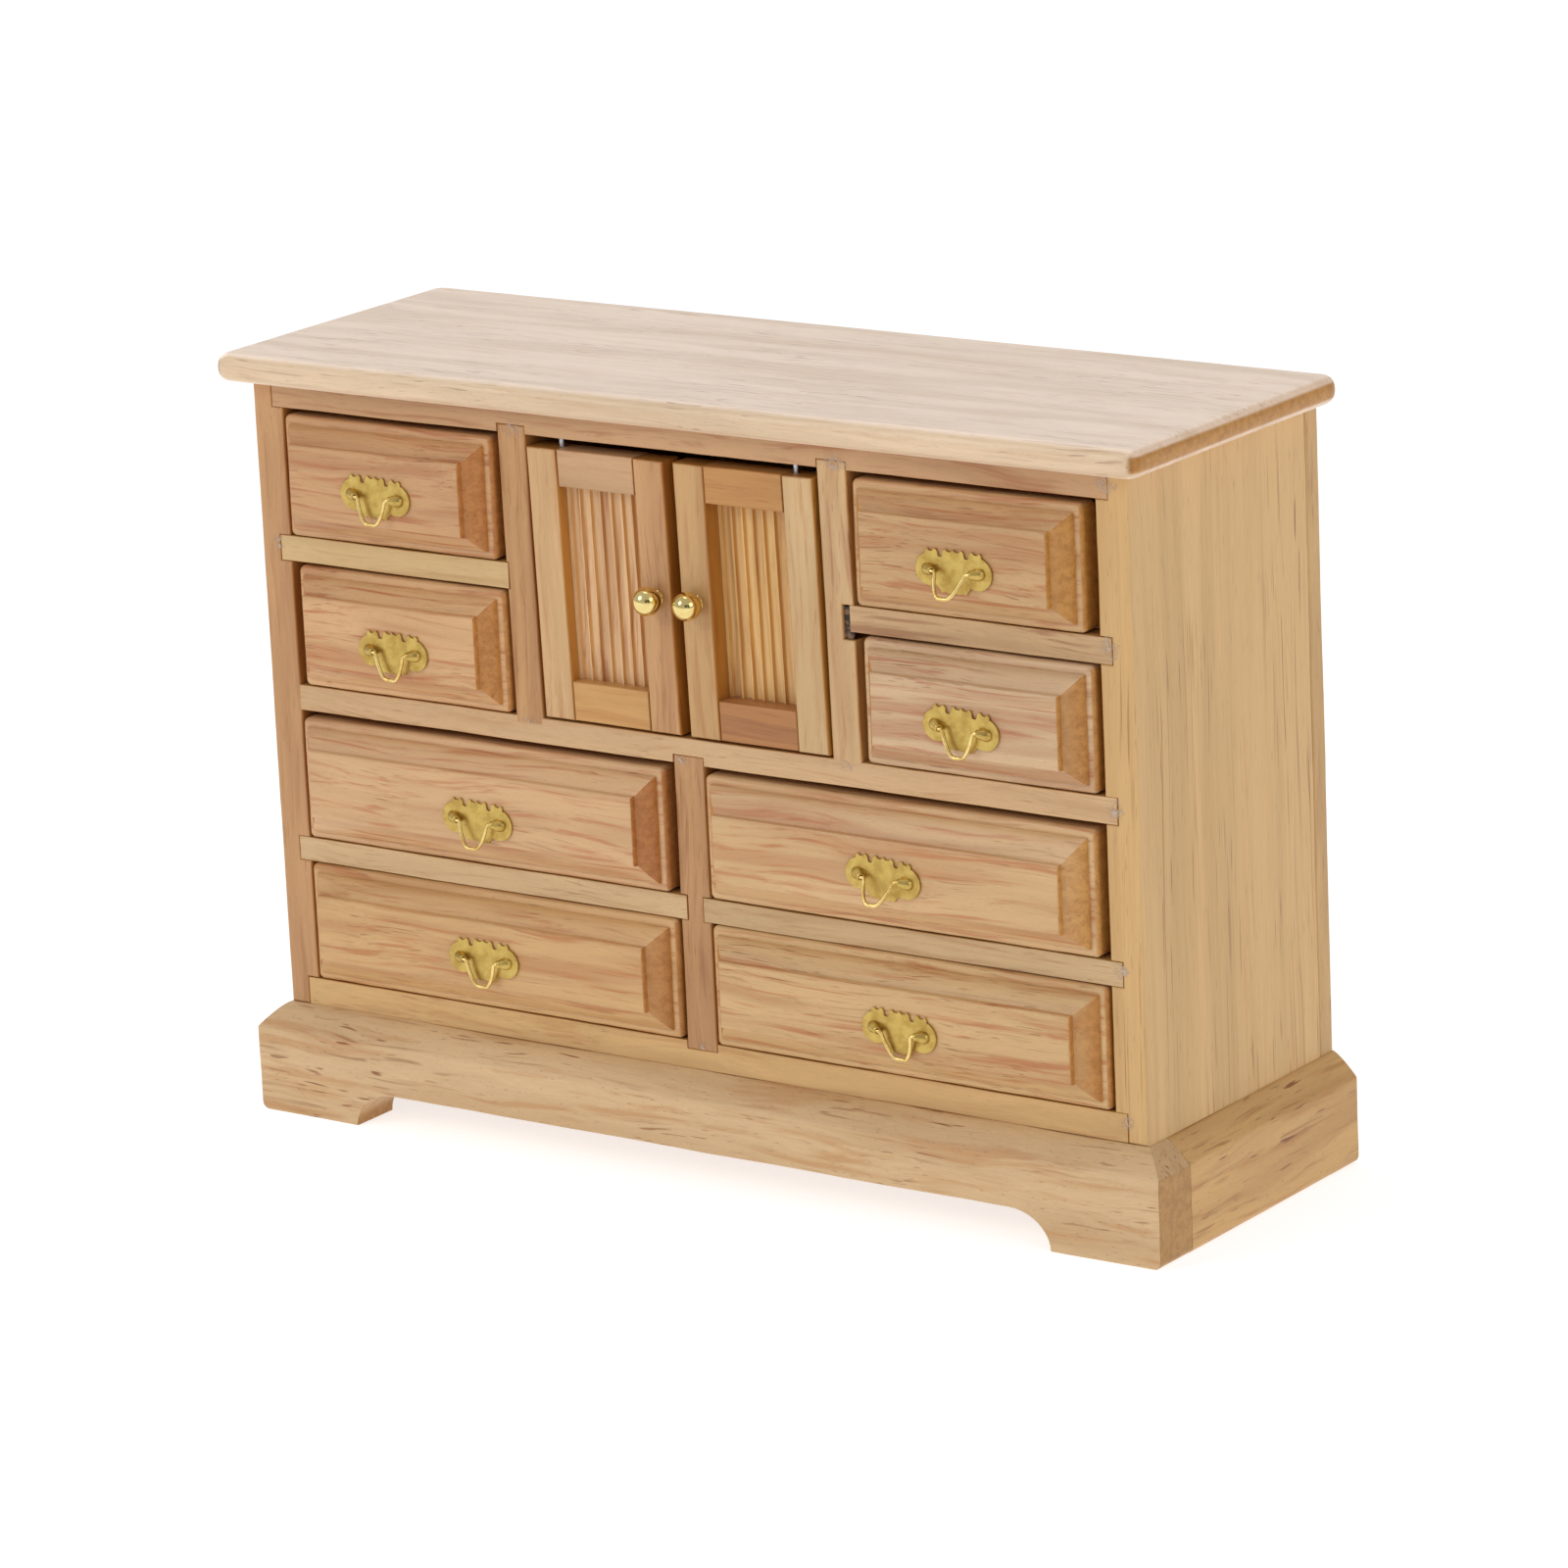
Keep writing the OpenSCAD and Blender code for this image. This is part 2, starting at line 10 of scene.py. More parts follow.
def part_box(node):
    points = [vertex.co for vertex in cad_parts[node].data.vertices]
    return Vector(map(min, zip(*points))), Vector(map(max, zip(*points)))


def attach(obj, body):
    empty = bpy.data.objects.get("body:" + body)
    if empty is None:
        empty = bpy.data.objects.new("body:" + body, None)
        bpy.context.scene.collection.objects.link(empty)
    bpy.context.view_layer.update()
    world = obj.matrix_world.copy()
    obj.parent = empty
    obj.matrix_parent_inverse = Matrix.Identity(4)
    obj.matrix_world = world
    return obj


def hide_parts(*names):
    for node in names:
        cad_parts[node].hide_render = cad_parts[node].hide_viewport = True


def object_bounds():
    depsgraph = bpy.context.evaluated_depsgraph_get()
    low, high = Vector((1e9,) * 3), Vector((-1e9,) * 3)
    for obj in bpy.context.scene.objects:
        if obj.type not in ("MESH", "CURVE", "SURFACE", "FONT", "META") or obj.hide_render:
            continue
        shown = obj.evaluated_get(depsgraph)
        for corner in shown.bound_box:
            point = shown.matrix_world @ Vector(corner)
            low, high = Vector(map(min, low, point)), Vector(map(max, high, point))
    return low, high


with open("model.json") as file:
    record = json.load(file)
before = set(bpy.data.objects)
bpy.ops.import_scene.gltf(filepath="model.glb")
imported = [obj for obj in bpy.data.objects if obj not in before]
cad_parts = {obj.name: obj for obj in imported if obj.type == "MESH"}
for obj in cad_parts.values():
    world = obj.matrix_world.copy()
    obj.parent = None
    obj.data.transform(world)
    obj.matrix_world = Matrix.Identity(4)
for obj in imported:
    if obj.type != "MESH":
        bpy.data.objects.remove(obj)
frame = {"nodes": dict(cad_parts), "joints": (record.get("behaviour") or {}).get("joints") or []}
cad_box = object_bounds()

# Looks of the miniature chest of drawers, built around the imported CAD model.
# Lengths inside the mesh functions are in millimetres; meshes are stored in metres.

MM = 0.001
noise.seed_set(1)  # Without a seed, noise vectors change from run to run

# ---------------- places from the frame


def corners(node):
    """Lowest and highest corner of a CAD node, in millimetres."""
    lo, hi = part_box(node)
    return Vector(lo) / MM, Vector(hi) / MM


FRONT = corners("left_side_panel")[0].y
LIMITS = [Vector(corner) / MM for corner in cad_box]
JOINTS = {j["name"]: j for j in frame["joints"]}
DRAWERS = range(1, 9)
SIDES = ("left", "right")

# ---------------- flat outlines


def arc(cx, cy, radius, start, end, steps):
    """Points on a circle from one angle to another, both in degrees."""
    angles = [math.radians(start + (end - start) * i / steps) for i in range(steps + 1)]
    return [(cx + radius * math.cos(a), cy + radius * math.sin(a)) for a in angles]


def quarter(steps):
    """Angles of a quarter turn, in radians."""
    return [math.radians(90 * k / steps) for k in range(steps + 1)]


def mirrored(points):
    """The same line of points on the other side of x = 0, in the opposite order."""
    return [(-x, z) for x, z in reversed(points)]


def rectangle(x0, y0, x1, y1):
    return [(x0, y0), (x1, y0), (x1, y1), (x0, y1)]


def rounded(points, radius, steps):
    """Rounds the corners of a closed outline."""
    result = []
    count = len(points)
    for i, point in enumerate(points):
        here = Vector(point)
        before = Vector(points[i - 1]) - here
        after = Vector(points[(i + 1) % count]) - here
        reach = min(radius / math.tan(before.angle(after) / 2), before.length * 0.45,
                    after.length * 0.45)
        start = here + before.normalized() * reach
        end = here + after.normalized() * reach
        for k in range(steps + 1):
            t = k / steps
            bend = start.lerp(here, t).lerp(here.lerp(end, t), t)
            result.append((bend.x, bend.y))
    return result


def resampled(points, step):
    """Adds points along the long edges of a closed outline."""
    result = []
    for i, point in enumerate(points):
        a = Vector(point)
        b = Vector(points[(i + 1) % len(points)])
        parts = max(1, round((b - a).length / step))
        result += [tuple(a.lerp(b, k / parts)) for k in range(parts)]
    return result


def area_of(points):
    """Area within a closed outline, above zero where it runs counter-clockwise."""
    pairs = zip(points, points[1:] + points[:1])
    return sum(a[0] * b[1] - b[0] * a[1] for a, b in pairs) / 2


def inset(points, distance):
    """Moves each point of a counter-clockwise outline inwards."""
    result = []
    count = len(points)
    for i, point in enumerate(points):
        here = Vector(point)
        a = (here - Vector(points[i - 1])).normalized()
        b = (Vector(points[(i + 1) % count]) - here).normalized()
        normal = Vector((-a.y - b.y, a.x + b.x))
        if normal.length < 1e-6:
            normal = Vector((-a.y, a.x))
        normal.normalize()
        lean = max(0.35, normal.dot(Vector((-a.y, a.x))))
        result.append(tuple(here + normal * distance / lean))
    return result


def cut_outline(lo, hi, cutters):
    """Outline of a rectangle in X and Z less the rectangles of the boards let into it."""
    clip = [(max(c[0].x, lo.x), max(c[0].z, lo.z), min(c[1].x, hi.x), min(c[1].z, hi.z))
            for c in cutters]
    xs = sorted({round(v, 3) for v in [lo.x, hi.x] + [v for c in clip for v in (c[0], c[2])]})
    zs = sorted({round(v, 3) for v in [lo.z, hi.z] + [v for c in clip for v in (c[1], c[3])]})

    def solid(x, z):
        return not any(c[0] < x < c[2] and c[1] < z < c[3] for c in clip)

    edges = set()
    for x0, x1 in zip(xs, xs[1:]):
        for z0, z1 in zip(zs, zs[1:]):
            square = rectangle(x0, z0, x1, z1)
            if solid((x0 + x1) / 2, (z0 + z1) / 2):
                for a, b in zip(square, square[1:] + square[:1]):
                    if (b, a) in edges:
                        edges.remove((b, a))
                    else:
                        edges.add((a, b))
    follow = dict(edges)
    loop = [min(follow)]
    while follow[loop[-1]] != loop[0]:
        loop.append(follow[loop[-1]])
    turns = []
    for i, p in enumerate(loop):
        q, r = loop[i - 1], loop[(i + 1) % len(loop)]
        if abs((p[0] - q[0]) * (r[1] - p[1]) - (p[1] - q[1]) * (r[0] - p[0])) > 1e-9:
            turns.append(p)
    return turns


# ---------------- meshes


def unevenness(point, seed, reach):
    """A smooth offset of about 1, as sanding by hand leaves it."""
    p = Vector(point) + Vector((31.7, 17.3, 23.9)) * seed
    return noise.noise_vector(p / reach) + 0.45 * noise.noise_vector(p / (reach * 0.23))


def finished(name, bm, stage=False):
    """Turns a bmesh in millimetres into an object; all but the stage keep to the CAD's box."""
    bmesh.ops.remove_doubles(bm, verts=bm.verts, dist=1e-4)
    bmesh.ops.recalc_face_normals(bm, faces=bm.faces)
    if not stage:
        for vertex in bm.verts:
            vertex.co = [min(max(c, lo), hi) for c, lo, hi in zip(vertex.co, *LIMITS)]
    bm.transform(Matrix.Scale(MM, 4))
    mesh = bpy.data.meshes.new(name)
    bm.to_mesh(mesh)
    bm.free()
    for polygon in mesh.polygons:
        polygon.use_smooth = not stage
    if not stage:
        mesh.set_sharp_from_angle(angle=math.radians(40))
    piece = bpy.data.objects.new(name, mesh)
    bpy.context.scene.collection.objects.link(piece)
    return piece


def crisp(piece):
    """Keeps broad faces flat and lets the rounded edges carry the shading."""
    modifier = piece.modifiers.new("normals", "WEIGHTED_NORMAL")
    modifier.mode = "FACE_AREA"
    modifier.weight = 90
    modifier.thresh = 0.01
    modifier.keep_sharp = True
    return piece


def lean_at(z, lo, hi, lean):
    """How far an upright that leans by a given amount in all stands to the left at height z."""
    return lean * ((z - lo) / (hi - lo) - 0.5)


def leaned(piece, lo, hi, lean):
    """Leans a piece's top to the left about the middle of the heights lo and hi."""
    for vertex in piece.data.vertices:
        vertex.co.x -= lean_at(vertex.co.z / MM, lo, hi, lean) * MM
    return piece


def placed(axis, u, v, a):
    """A point of an outline (u, v) at distance a along the axis that it is extruded on."""
    return {"x": Vector((a, u, v)), "y": Vector((u, a, v)), "z": Vector((u, v, a))}[axis]


def ring_faces(bm, rings):
    """Joins each ring of vertices to the next one."""
    count = len(rings[0])
    for low, high in zip(rings, rings[1:]):
        for i in range(count):
            k = (i + 1) % count
            bm.faces.new((low[i], low[k], high[k], high[i]))


def add_prism(bm, points, axis, start, end, rim=0.2, uneven=0.05, seed=1, step=1.6,
              length_step=4.0):
    """Extrudes an outline along an axis, with rounded rims and slightly uneven sides."""
    if area_of(points) < 0:
        points = points[::-1]
    points = resampled(points, step)
    depth = end - start
    rim = min(rim, depth * 0.45)
    sweep = quarter(4) if rim else [math.pi / 2]
    levels = [(start + rim * (1 - math.cos(t)), rim * (1 - math.sin(t))) for t in sweep]
    parts = max(1, round((depth - 2 * rim) / length_step))
    inner = [start + rim + (depth - 2 * rim) * k / parts for k in range(1, parts)]
    back = [(start + end - a, d) for a, d in reversed(levels)]
    rings = []
    for a, d in levels + [(a, 0) for a in inner] + back:
        ring = []
        for u, v in (inset(points, d) if d else points):
            spot = placed(axis, u, v, a)
            shift = unevenness(spot, seed, 14) * uneven
            shift["xyz".index(axis)] = 0
            ring.append(bm.verts.new(spot + shift))
        rings.append(ring)
    ring_faces(bm, rings)
    bm.faces.new(rings[0][::-1])
    bm.faces.new(rings[-1])


def prism(name, points, axis, start, end, **options):
    """An object of one extruded outline; the options are those of add_prism."""
    bm = bmesh.new()
    add_prism(bm, points, axis, start, end, **options)
    return crisp(finished(name, bm))


def add_lathe(bm, profile, centre, axis, steps):
    """Turns a profile of (distance along the axis, radius) about an axis through centre."""
    rings = []
    for along, radius in profile:
        ring = []
        for k in range(steps):
            a = 2 * math.pi * k / steps
            ring.append(bm.verts.new(
                centre + placed(axis, radius * math.cos(a), radius * math.sin(a), along)))
        rings.append(ring)
    ring_faces(bm, rings)
    return rings


def add_tube(bm, path, radius, steps=14):
    """Sweeps a circle along a path that lies in a plane of constant y."""
    rings = []
    depth = Vector((0, 1, 0))
    for i, point in enumerate(path):
        ahead = path[min(i + 1, len(path) - 1)] - path[max(i - 1, 0)]
        across = depth.cross(ahead).normalized()
        ring = []
        for k in range(steps):
            a = 2 * math.pi * k / steps
            ring.append(bm.verts.new(
                point + across * radius * math.cos(a) + depth * radius * math.sin(a)))
        rings.append(ring)
    ring_faces(bm, rings)
    bm.faces.new(rings[0][::-1])
    bm.faces.new(rings[-1])


# ---------------- materials


def srgb(red, green, blue):
    """A display colour from 0 to 255 as the linear colour that shaders use."""
    def linear(c):
        c /= 255
        return c / 12.92 if c <= 0.04045 else ((c + 0.055) / 1.055) ** 2.4
    return (linear(red), linear(green), linear(blue), 1)


class Nodes:
    """Short names for making and joining shader nodes."""

    def __init__(self, tree):
        self.tree = tree

    def add(self, kind, **inputs):
        node = self.tree.nodes.new(kind)
        for name, value in inputs.items():
            self.put(node, name.replace("_", " "), value)
        return node

    def put(self, node, socket, value):
        """Sets an input by its name or number, or joins another node's output to it."""
        if isinstance(value, bpy.types.NodeSocket):
            self.tree.links.new(value, node.inputs[socket])
        else:
            node.inputs[socket].default_value = value

    def math(self, operation, a, b=0.0):
        node = self.add("ShaderNodeMath")
        node.operation = operation
        self.put(node, 0, a)
        self.put(node, 1, b)
        return node.outputs[0]

    def product(self, a, b):
        return self.math("MULTIPLY", a, b)

    def vector(self, operation, a, b):
        node = self.add("ShaderNodeVectorMath")
        node.operation = operation
        self.put(node, 0, a)
        self.put(node, 1, b)
        return node.outputs[0]

    def step(self, value, low, high, to_low=0.0, to_high=1.0):
        """A smooth step from to_low to to_high as the value goes from low to high."""
        node = self.add("ShaderNodeMapRange")
        node.interpolation_type = "SMOOTHSTEP"
        for socket, item in enumerate((value, low, high, to_low, to_high)):
            self.put(node, socket, item)
        return node.outputs[0]

    def mix(self, factor, a, b, blend="MIX"):
        node = self.add("ShaderNodeMix")
        node.data_type = "RGBA"
        node.blend_type = blend
        for socket, value in (("Factor", factor), (6, a), (7, b)):
            self.put(node, socket, value)
        return node.outputs[2]

    def tinted(self, colour, tint):
        return self.mix(1.0, colour, tint, "MULTIPLY")

    def noise(self, vector, scale, detail, roughness):
        return self.add("ShaderNodeTexNoise", Vector=vector, Scale=scale, Detail=detail,
                        Roughness=roughness).outputs["Fac"]

    def grained(self, place, along, across, detail, roughness):
        """Noise with its own number of changes per millimetre along and across the grain."""
        stretch = self.vector("MULTIPLY", place, (along, across, across))
        return self.noise(stretch, 1, detail, roughness)


def new_material(name):
    """A material, its nodes and its shader."""
    material = bpy.data.materials.new(name)
    material.use_nodes = True
    nodes = Nodes(material.node_tree)
    shader = material.node_tree.nodes["Principled BSDF"]
    return material, nodes, shader


def millimetres(nodes, seed):
    """Object coordinates in millimetres, shifted so that no two boards are alike."""
    place = nodes.add("ShaderNodeTexCoord")
    scaled = nodes.vector("MULTIPLY", place.outputs["Object"], (1000, 1000, 1000))
    shift = (37.1 * seed % 211, 53.7 * seed % 197, 71.3 * seed % 223)
    return nodes.vector("ADD", scaled, shift), place.outputs["Normal"]


def along_grain(nodes, vector, grain):
    """Turns coordinates so that the grain runs along X."""
    parts = nodes.add("ShaderNodeSeparateXYZ", Vector=vector)
    order = {"x": (0, 1, 2), "y": (1, 0, 2), "z": (2, 0, 1)}[grain]
    turned = {name: parts.outputs[source] for name, source in zip("XYZ", order)}
    return nodes.add("ShaderNodeCombineXYZ", **turned).outputs[0]


def wandered(nodes, place, width):
    """Lets the grain lines wander a little across the board, and spreads them by a width."""
    slow = nodes.vector("MULTIPLY", place, (0.045, 0.16, 0.16))
    wander = nodes.add("ShaderNodeTexNoise", Vector=slow, Scale=1, Detail=1).outputs["Color"]
    centred = nodes.vector("SUBTRACT", wander, (0.5, 0.5, 0.5))
    drift = nodes.vector("MULTIPLY", centred, (0, 3.2, 3.2))
    widen = nodes.add("ShaderNodeCombineXYZ", X=1.0, Y=width, Z=width).outputs[0]
    return nodes.vector("DIVIDE", nodes.vector("ADD", place, drift), widen)


def long_grain(nodes, given, place):
    """Colour, height and fibres of a face cut along the grain."""
    bent = wandered(nodes, place, given["Width"])
    bands = nodes.grained(bent, 0.02, 0.3, 2, 0.5)
    streaks = nodes.grained(bent, 0.05, 1.1, 3, 0.55)
    lines = nodes.grained(bent, 0.06, 3.4, 1, 0.4)
    fibres = nodes.grained(bent, 0.25, 6, 3, 0.6)
    fine = nodes.grained(bent, 0.8, 15, 2, 0.5)
    marks = nodes.grained(bent, 0.2, 3.6, 1, 0.4)
    pores = nodes.grained(bent, 1.0, 8, 1, 0.5)
    gathered = nodes.step(nodes.grained(place, 0.05, 0.1, 1, 0.5), 0.36, 0.6)

    # Broad soft bands, pale and dark, then narrower streaks
    tone, streak, mark = given["Tone"], given["Streak"], given["Mark"]
    pale = nodes.tinted(tone, (1.16, 1.17, 1.2, 1))
    colour = nodes.mix(nodes.step(bands, 0.36, 0.66, 0.0, 0.8), tone, pale)
    wide = nodes.product(nodes.step(bands, 0.5, 0.3), nodes.product(given["Streaks"], 0.5))
    colour = nodes.mix(wide, colour, streak)
    narrow = nodes.product(nodes.step(streaks, 0.5, 0.7), given["Streaks"])
    colour = nodes.mix(narrow, colour, streak)

    # Long lines where the marks gather, fine fibres, short dark marks and small pores
    line = nodes.product(nodes.step(lines, 0.62, 0.72), nodes.product(gathered, 0.55))
    colour = nodes.mix(nodes.product(line, given["Marks"]), colour, mark)
    colour = nodes.tinted(colour, nodes.step(fibres, 0.25, 0.75, 0.95, 1.04))
    colour = nodes.tinted(colour, nodes.step(fine, 0.2, 0.8, 0.96, 1.03))
    dash = nodes.product(nodes.step(marks, 0.66, 0.75), gathered)
    colour = nodes.mix(nodes.product(dash, given["Marks"]), colour, mark)
    speck = nodes.product(nodes.step(pores, 0.66, 0.76), 0.4)
    colour = nodes.mix(nodes.product(speck, given["Marks"]), colour, mark)

    height = nodes.math("ADD", nodes.product(fibres, 0.5), nodes.product(fine, 0.3))
    dents = nodes.product(nodes.math("ADD", dash, speck), 0.9)
    return colour, nodes.math("SUBTRACT", height, dents), fibres


def end_grain(nodes, given, place):
    """Faces cut across the grain drink in the varnish and show dark pores, with painted light
    where they tilt up or down: how far, and colour.
    """
    facing = nodes.add("ShaderNodeSeparateXYZ", Vector=given["Normal"]).outputs
    across = nodes.math("ABSOLUTE", facing[0])
    # Painted light: end grain that tilts up or down takes less of the dark end colour, so sloped
    # end grain looks lit from above
    worked = nodes.step(nodes.math("ABSOLUTE", facing[2]), 0.3, 0.6, 1.0, 0.35)
    amount = nodes.product(nodes.step(across, 0.3, 0.7), worked)
    blotch = nodes.grained(place, 0.8, 1.1, 3, 0.65)
    holes = nodes.grained(place, 1, 3.6, 2, 0.6)
    dark = nodes.tinted(given["End"], (0.8, 0.74, 0.64, 1))
    colour = nodes.mix(nodes.step(blotch, 0.35, 0.65), given["End"], dark)
    return amount, nodes.mix(nodes.step(holes, 0.58, 0.7, 0, 0.4), colour, given["Mark"])


def wood_group():
    """The grain of the pale varnished wood, shared by every board."""
    tree = bpy.data.node_groups.new("wood_grain", "ShaderNodeTree")
    for name, kind in (("Place", "Vector"), ("Normal", "Vector"), ("Tone", "Color"),
                       ("Streak", "Color"), ("Mark", "Color"), ("End", "Color"),
                       ("Streaks", "Float"), ("Marks", "Float"), ("Width", "Float")):
        tree.interface.new_socket(name, in_out="INPUT", socket_type=f"NodeSocket{kind}")
    for name, kind in (("Color", "Color"), ("Height", "Float"), ("Roughness", "Float")):
        tree.interface.new_socket(name, in_out="OUTPUT", socket_type=f"NodeSocket{kind}")
    nodes = Nodes(tree)
    given = nodes.add("NodeGroupInput").outputs
    colour, height, fibres = long_grain(nodes, given, given["Place"])
    amount, end_colour = end_grain(nodes, given, given["Place"])
    nodes.add("NodeGroupOutput", Color=nodes.mix(amount, colour, end_colour), Height=height,
              Roughness=nodes.step(fibres, 0.3, 0.8, 0.36, 0.52))
    return tree


WOOD = wood_group()
MARK = srgb(132, 76, 34)
# Painted warm shade: faces on narrow edges, in flutes and inside the case are darkened and warmed,
# as shade and bounced light make them look
WARM_SHADE_TINT = (0.78, 0.55, 0.2, 1)
# Painted shade for the top board's front and back edges
TOP_EDGE_SHADE_TINT = (0.72, 0.66, 0.54, 1)


def wood(name, grain, tone, streak, end=(168, 118, 58), streaks=0.4, marks=0.6, width=1.0,
         length=1.0, gloss=0.15, edge=0.0, edge_axis=0, one_side=0, shade_tint=WARM_SHADE_TINT, seed=1):
    """One board's material: its own tint, streaks and marks, and its own stretch of grain.
    Faces that look along edge_axis take painted shade from the shade tint, or only those that look
    to one side."""
    material, nodes, shader = new_material(name)
    spot, normal = millimetres(nodes, seed)
    facing = along_grain(nodes, normal, grain)
    place = nodes.vector("DIVIDE", along_grain(nodes, spot, grain), (length, 1, 1))
    group = nodes.add("ShaderNodeGroup")
    group.node_tree = WOOD
    values = {"Place": place, "Normal": facing, "Tone": srgb(*tone), "Streak": srgb(*streak),
              "Mark": MARK, "End": srgb(*end), "Streaks": streaks, "Marks": marks, "Width": width}
    for socket, value in values.items():
        nodes.put(group, socket, value)
    bump = nodes.add("ShaderNodeBump", Strength=0.5, Distance=0.00005,
                     Height=group.outputs["Height"])
    colour = group.outputs["Color"]
    # Painted shade: faces that look along edge_axis, or to one side of it, are darkened and warmed
    # by the shade tint
    if edge:
        sideways = nodes.add("ShaderNodeSeparateXYZ", Vector=normal).outputs[edge_axis]
        if one_side:
            sideways = nodes.product(sideways, one_side)
        else:
            sideways = nodes.math("ABSOLUTE", sideways)
        shaded = nodes.tinted(colour, shade_tint)
        colour = nodes.mix(nodes.step(sideways, 0.25, 0.8, 0.0, edge), colour, shaded)
    nodes.put(shader, "Base Color", colour)
    nodes.put(shader, "Roughness", group.outputs["Roughness"])
    nodes.put(shader, "Normal", bump.outputs[0])
    shader.inputs["Specular IOR Level"].default_value = 0.3
    shader.inputs["Coat Weight"].default_value = gloss
    shader.inputs["Coat Roughness"].default_value = 0.28
    return material


def metal(name, colour, dull, roughness, scratches, wave, seed):
    """Polished metal with soft dents up to wave deep, fine scratches and duller patches."""
    material, nodes, shader = new_material(name)
    spot, _ = millimetres(nodes, seed)
    patches = nodes.noise(spot, 0.7, 3, 0.6)
    grime = nodes.noise(spot, 2.6, 4, 0.65)
    lines = nodes.noise(nodes.vector("MULTIPLY", spot, (1.2, 6, 22)), 1, 2, 0.6)
    dents = nodes.noise(spot, 0.9, 2, 0.5)
    tint = nodes.mix(nodes.step(patches, 0.35, 0.7), colour, dull)
    tint = nodes.mix(nodes.step(grime, 0.6, 0.8, 0, 0.35), tint, dull)
    nodes.put(shader, "Base Color", tint)
    nodes.put(shader, "Roughness", nodes.step(grime, 0.3, 0.75, roughness, roughness + 0.16))
    height = nodes.math("ADD", dents, nodes.product(lines, scratches))
    bump = nodes.add("ShaderNodeBump", Strength=0.6, Distance=wave, Height=height)
    nodes.put(shader, "Normal", bump.outputs[0])
    shader.inputs["Metallic"].default_value = 1
    return material


def glue_material():
    """Dried white glue, a haze that fades out at its edges."""
    material, nodes, shader = new_material("dried_glue")
    spot, _ = millimetres(nodes, 3)
    cloud = nodes.noise(spot, 1.6, 4, 0.65)
    fade = nodes.add("ShaderNodeAttribute")
    fade.attribute_name = "fade"
    colour = nodes.mix(nodes.step(cloud, 0.35, 0.65), srgb(206, 188, 168), srgb(184, 150, 120))
    solid = nodes.product(nodes.step(cloud, 0.36, 0.62, 0.8, 0.0), fade.outputs["Fac"])
    nodes.put(shader, "Base Color", colour)
    nodes.put(shader, "Alpha", solid)
    nodes.put(shader, "Roughness", nodes.step(cloud, 0.3, 0.7, 0.4, 0.6))
    return material


BRASS_SHEET = metal("stamped_brass", srgb(202, 174, 98), srgb(178, 146, 76), roughness=0.3,
                    scratches=0.3, wave=0.000015, seed=5)
BRASS_WIRE = metal("brass_wire", srgb(238, 212, 142), srgb(210, 174, 96), roughness=0.26,
                   scratches=0.01, wave=0.000004, seed=6)
BRASS_BALL = metal("brass_ball", srgb(236, 216, 150), srgb(222, 196, 124), roughness=0.05,
                   scratches=0.03, wave=0.000006, seed=7)
STEEL = metal("steel_pin", srgb(196, 196, 200), srgb(150, 148, 146), roughness=0.24,
              scratches=0.4, wave=0.00004, seed=8)

# ---------------- placing pieces


def fit(piece, body, material, slot, *nodes):
    """Gives a piece its material and its body, and hides the CAD nodes that it stands for; slot is
    not used.
    """
    piece.data.materials.append(material)
    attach(piece, body)
    if nodes:
        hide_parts(*nodes)
    return piece


# ---------------- the case

# Board: grain, tone, streak colour, streaks, marks, grain width and a seed
CASE_LOOKS = {
    "left_side_panel": ("z", (189, 143, 97), (163, 110, 67), 0.5, 0.4, 1.0, 11),
    "right_side_panel": ("z", (202, 163, 108), (178, 128, 73), 0.22, 0.8, 1.3, 12),
    "back_panel": ("z", (193, 153, 99), (174, 130, 80), 0.5, 0.5, 1.4, 13),
    "top_rail": ("x", (186, 146, 105), (164, 106, 68), 0.7, 0.4, 0.9, 14),
    "middle_shelf": ("x", (199, 163, 120), (184, 134, 86), 0.5, 0.4, 1.0, 15),
    "bottom_shelf": ("x", (198, 159, 105), (180, 128, 74), 0.5, 0.35, 1.0, 16),
    "left_divider": ("z", (187, 142, 94), (156, 102, 64), 0.6, 0.5, 0.9, 17),
    "right_divider": ("z", (202, 166, 120), (174, 122, 82), 0.6, 0.6, 0.9, 18),
    "centre_divider": ("z", (181, 136, 91), (150, 98, 58), 0.6, 0.6, 0.9, 19),
    "upper_left_shelf": ("x", (198, 166, 116), (180, 134, 82), 0.4, 0.3, 1.0, 20),
    "upper_right_shelf": ("x", (189, 154, 112), (152, 104, 68), 0.7, 0.5, 1.0, 21),
    "lower_left_shelf": ("x", (198, 166, 122), (180, 132, 86), 0.5, 0.4, 1.0, 22),
    "lower_right_shelf": ("x", (192, 161, 118), (174, 126, 82), 0.5, 0.4, 1.0, 23),
}
# The boards let into each board; the over-cut housing in right_divider is made on its own
LET_IN = {
    "left_side_panel": ["bottom_shelf", "lower_left_shelf", "upper_left_shelf", "top_rail"],
    "right_side_panel": ["bottom_shelf", "lower_right_shelf", "middle_shelf", "upper_right_shelf",
                         "top_rail"],
    "top_rail": ["left_divider", "right_divider"],
    "middle_shelf": ["centre_divider"],
    "bottom_shelf": ["centre_divider"],
    "left_divider": ["upper_left_shelf"],
    "centre_divider": ["lower_left_shelf", "lower_right_shelf"],
}
NOTCH_BELOW = 0.9
NOTCH_DEPTH = 1.0
UPRIGHT_RIM = 0.28
SHELF_RIM = 0.12
# The cupboard's uprights and doors stand a little out of true, their tops to the left
DIVIDER_LEAN = 0.6
DOOR_LEAN = 0.8
LEANING = ("left_divider", "right_divider")
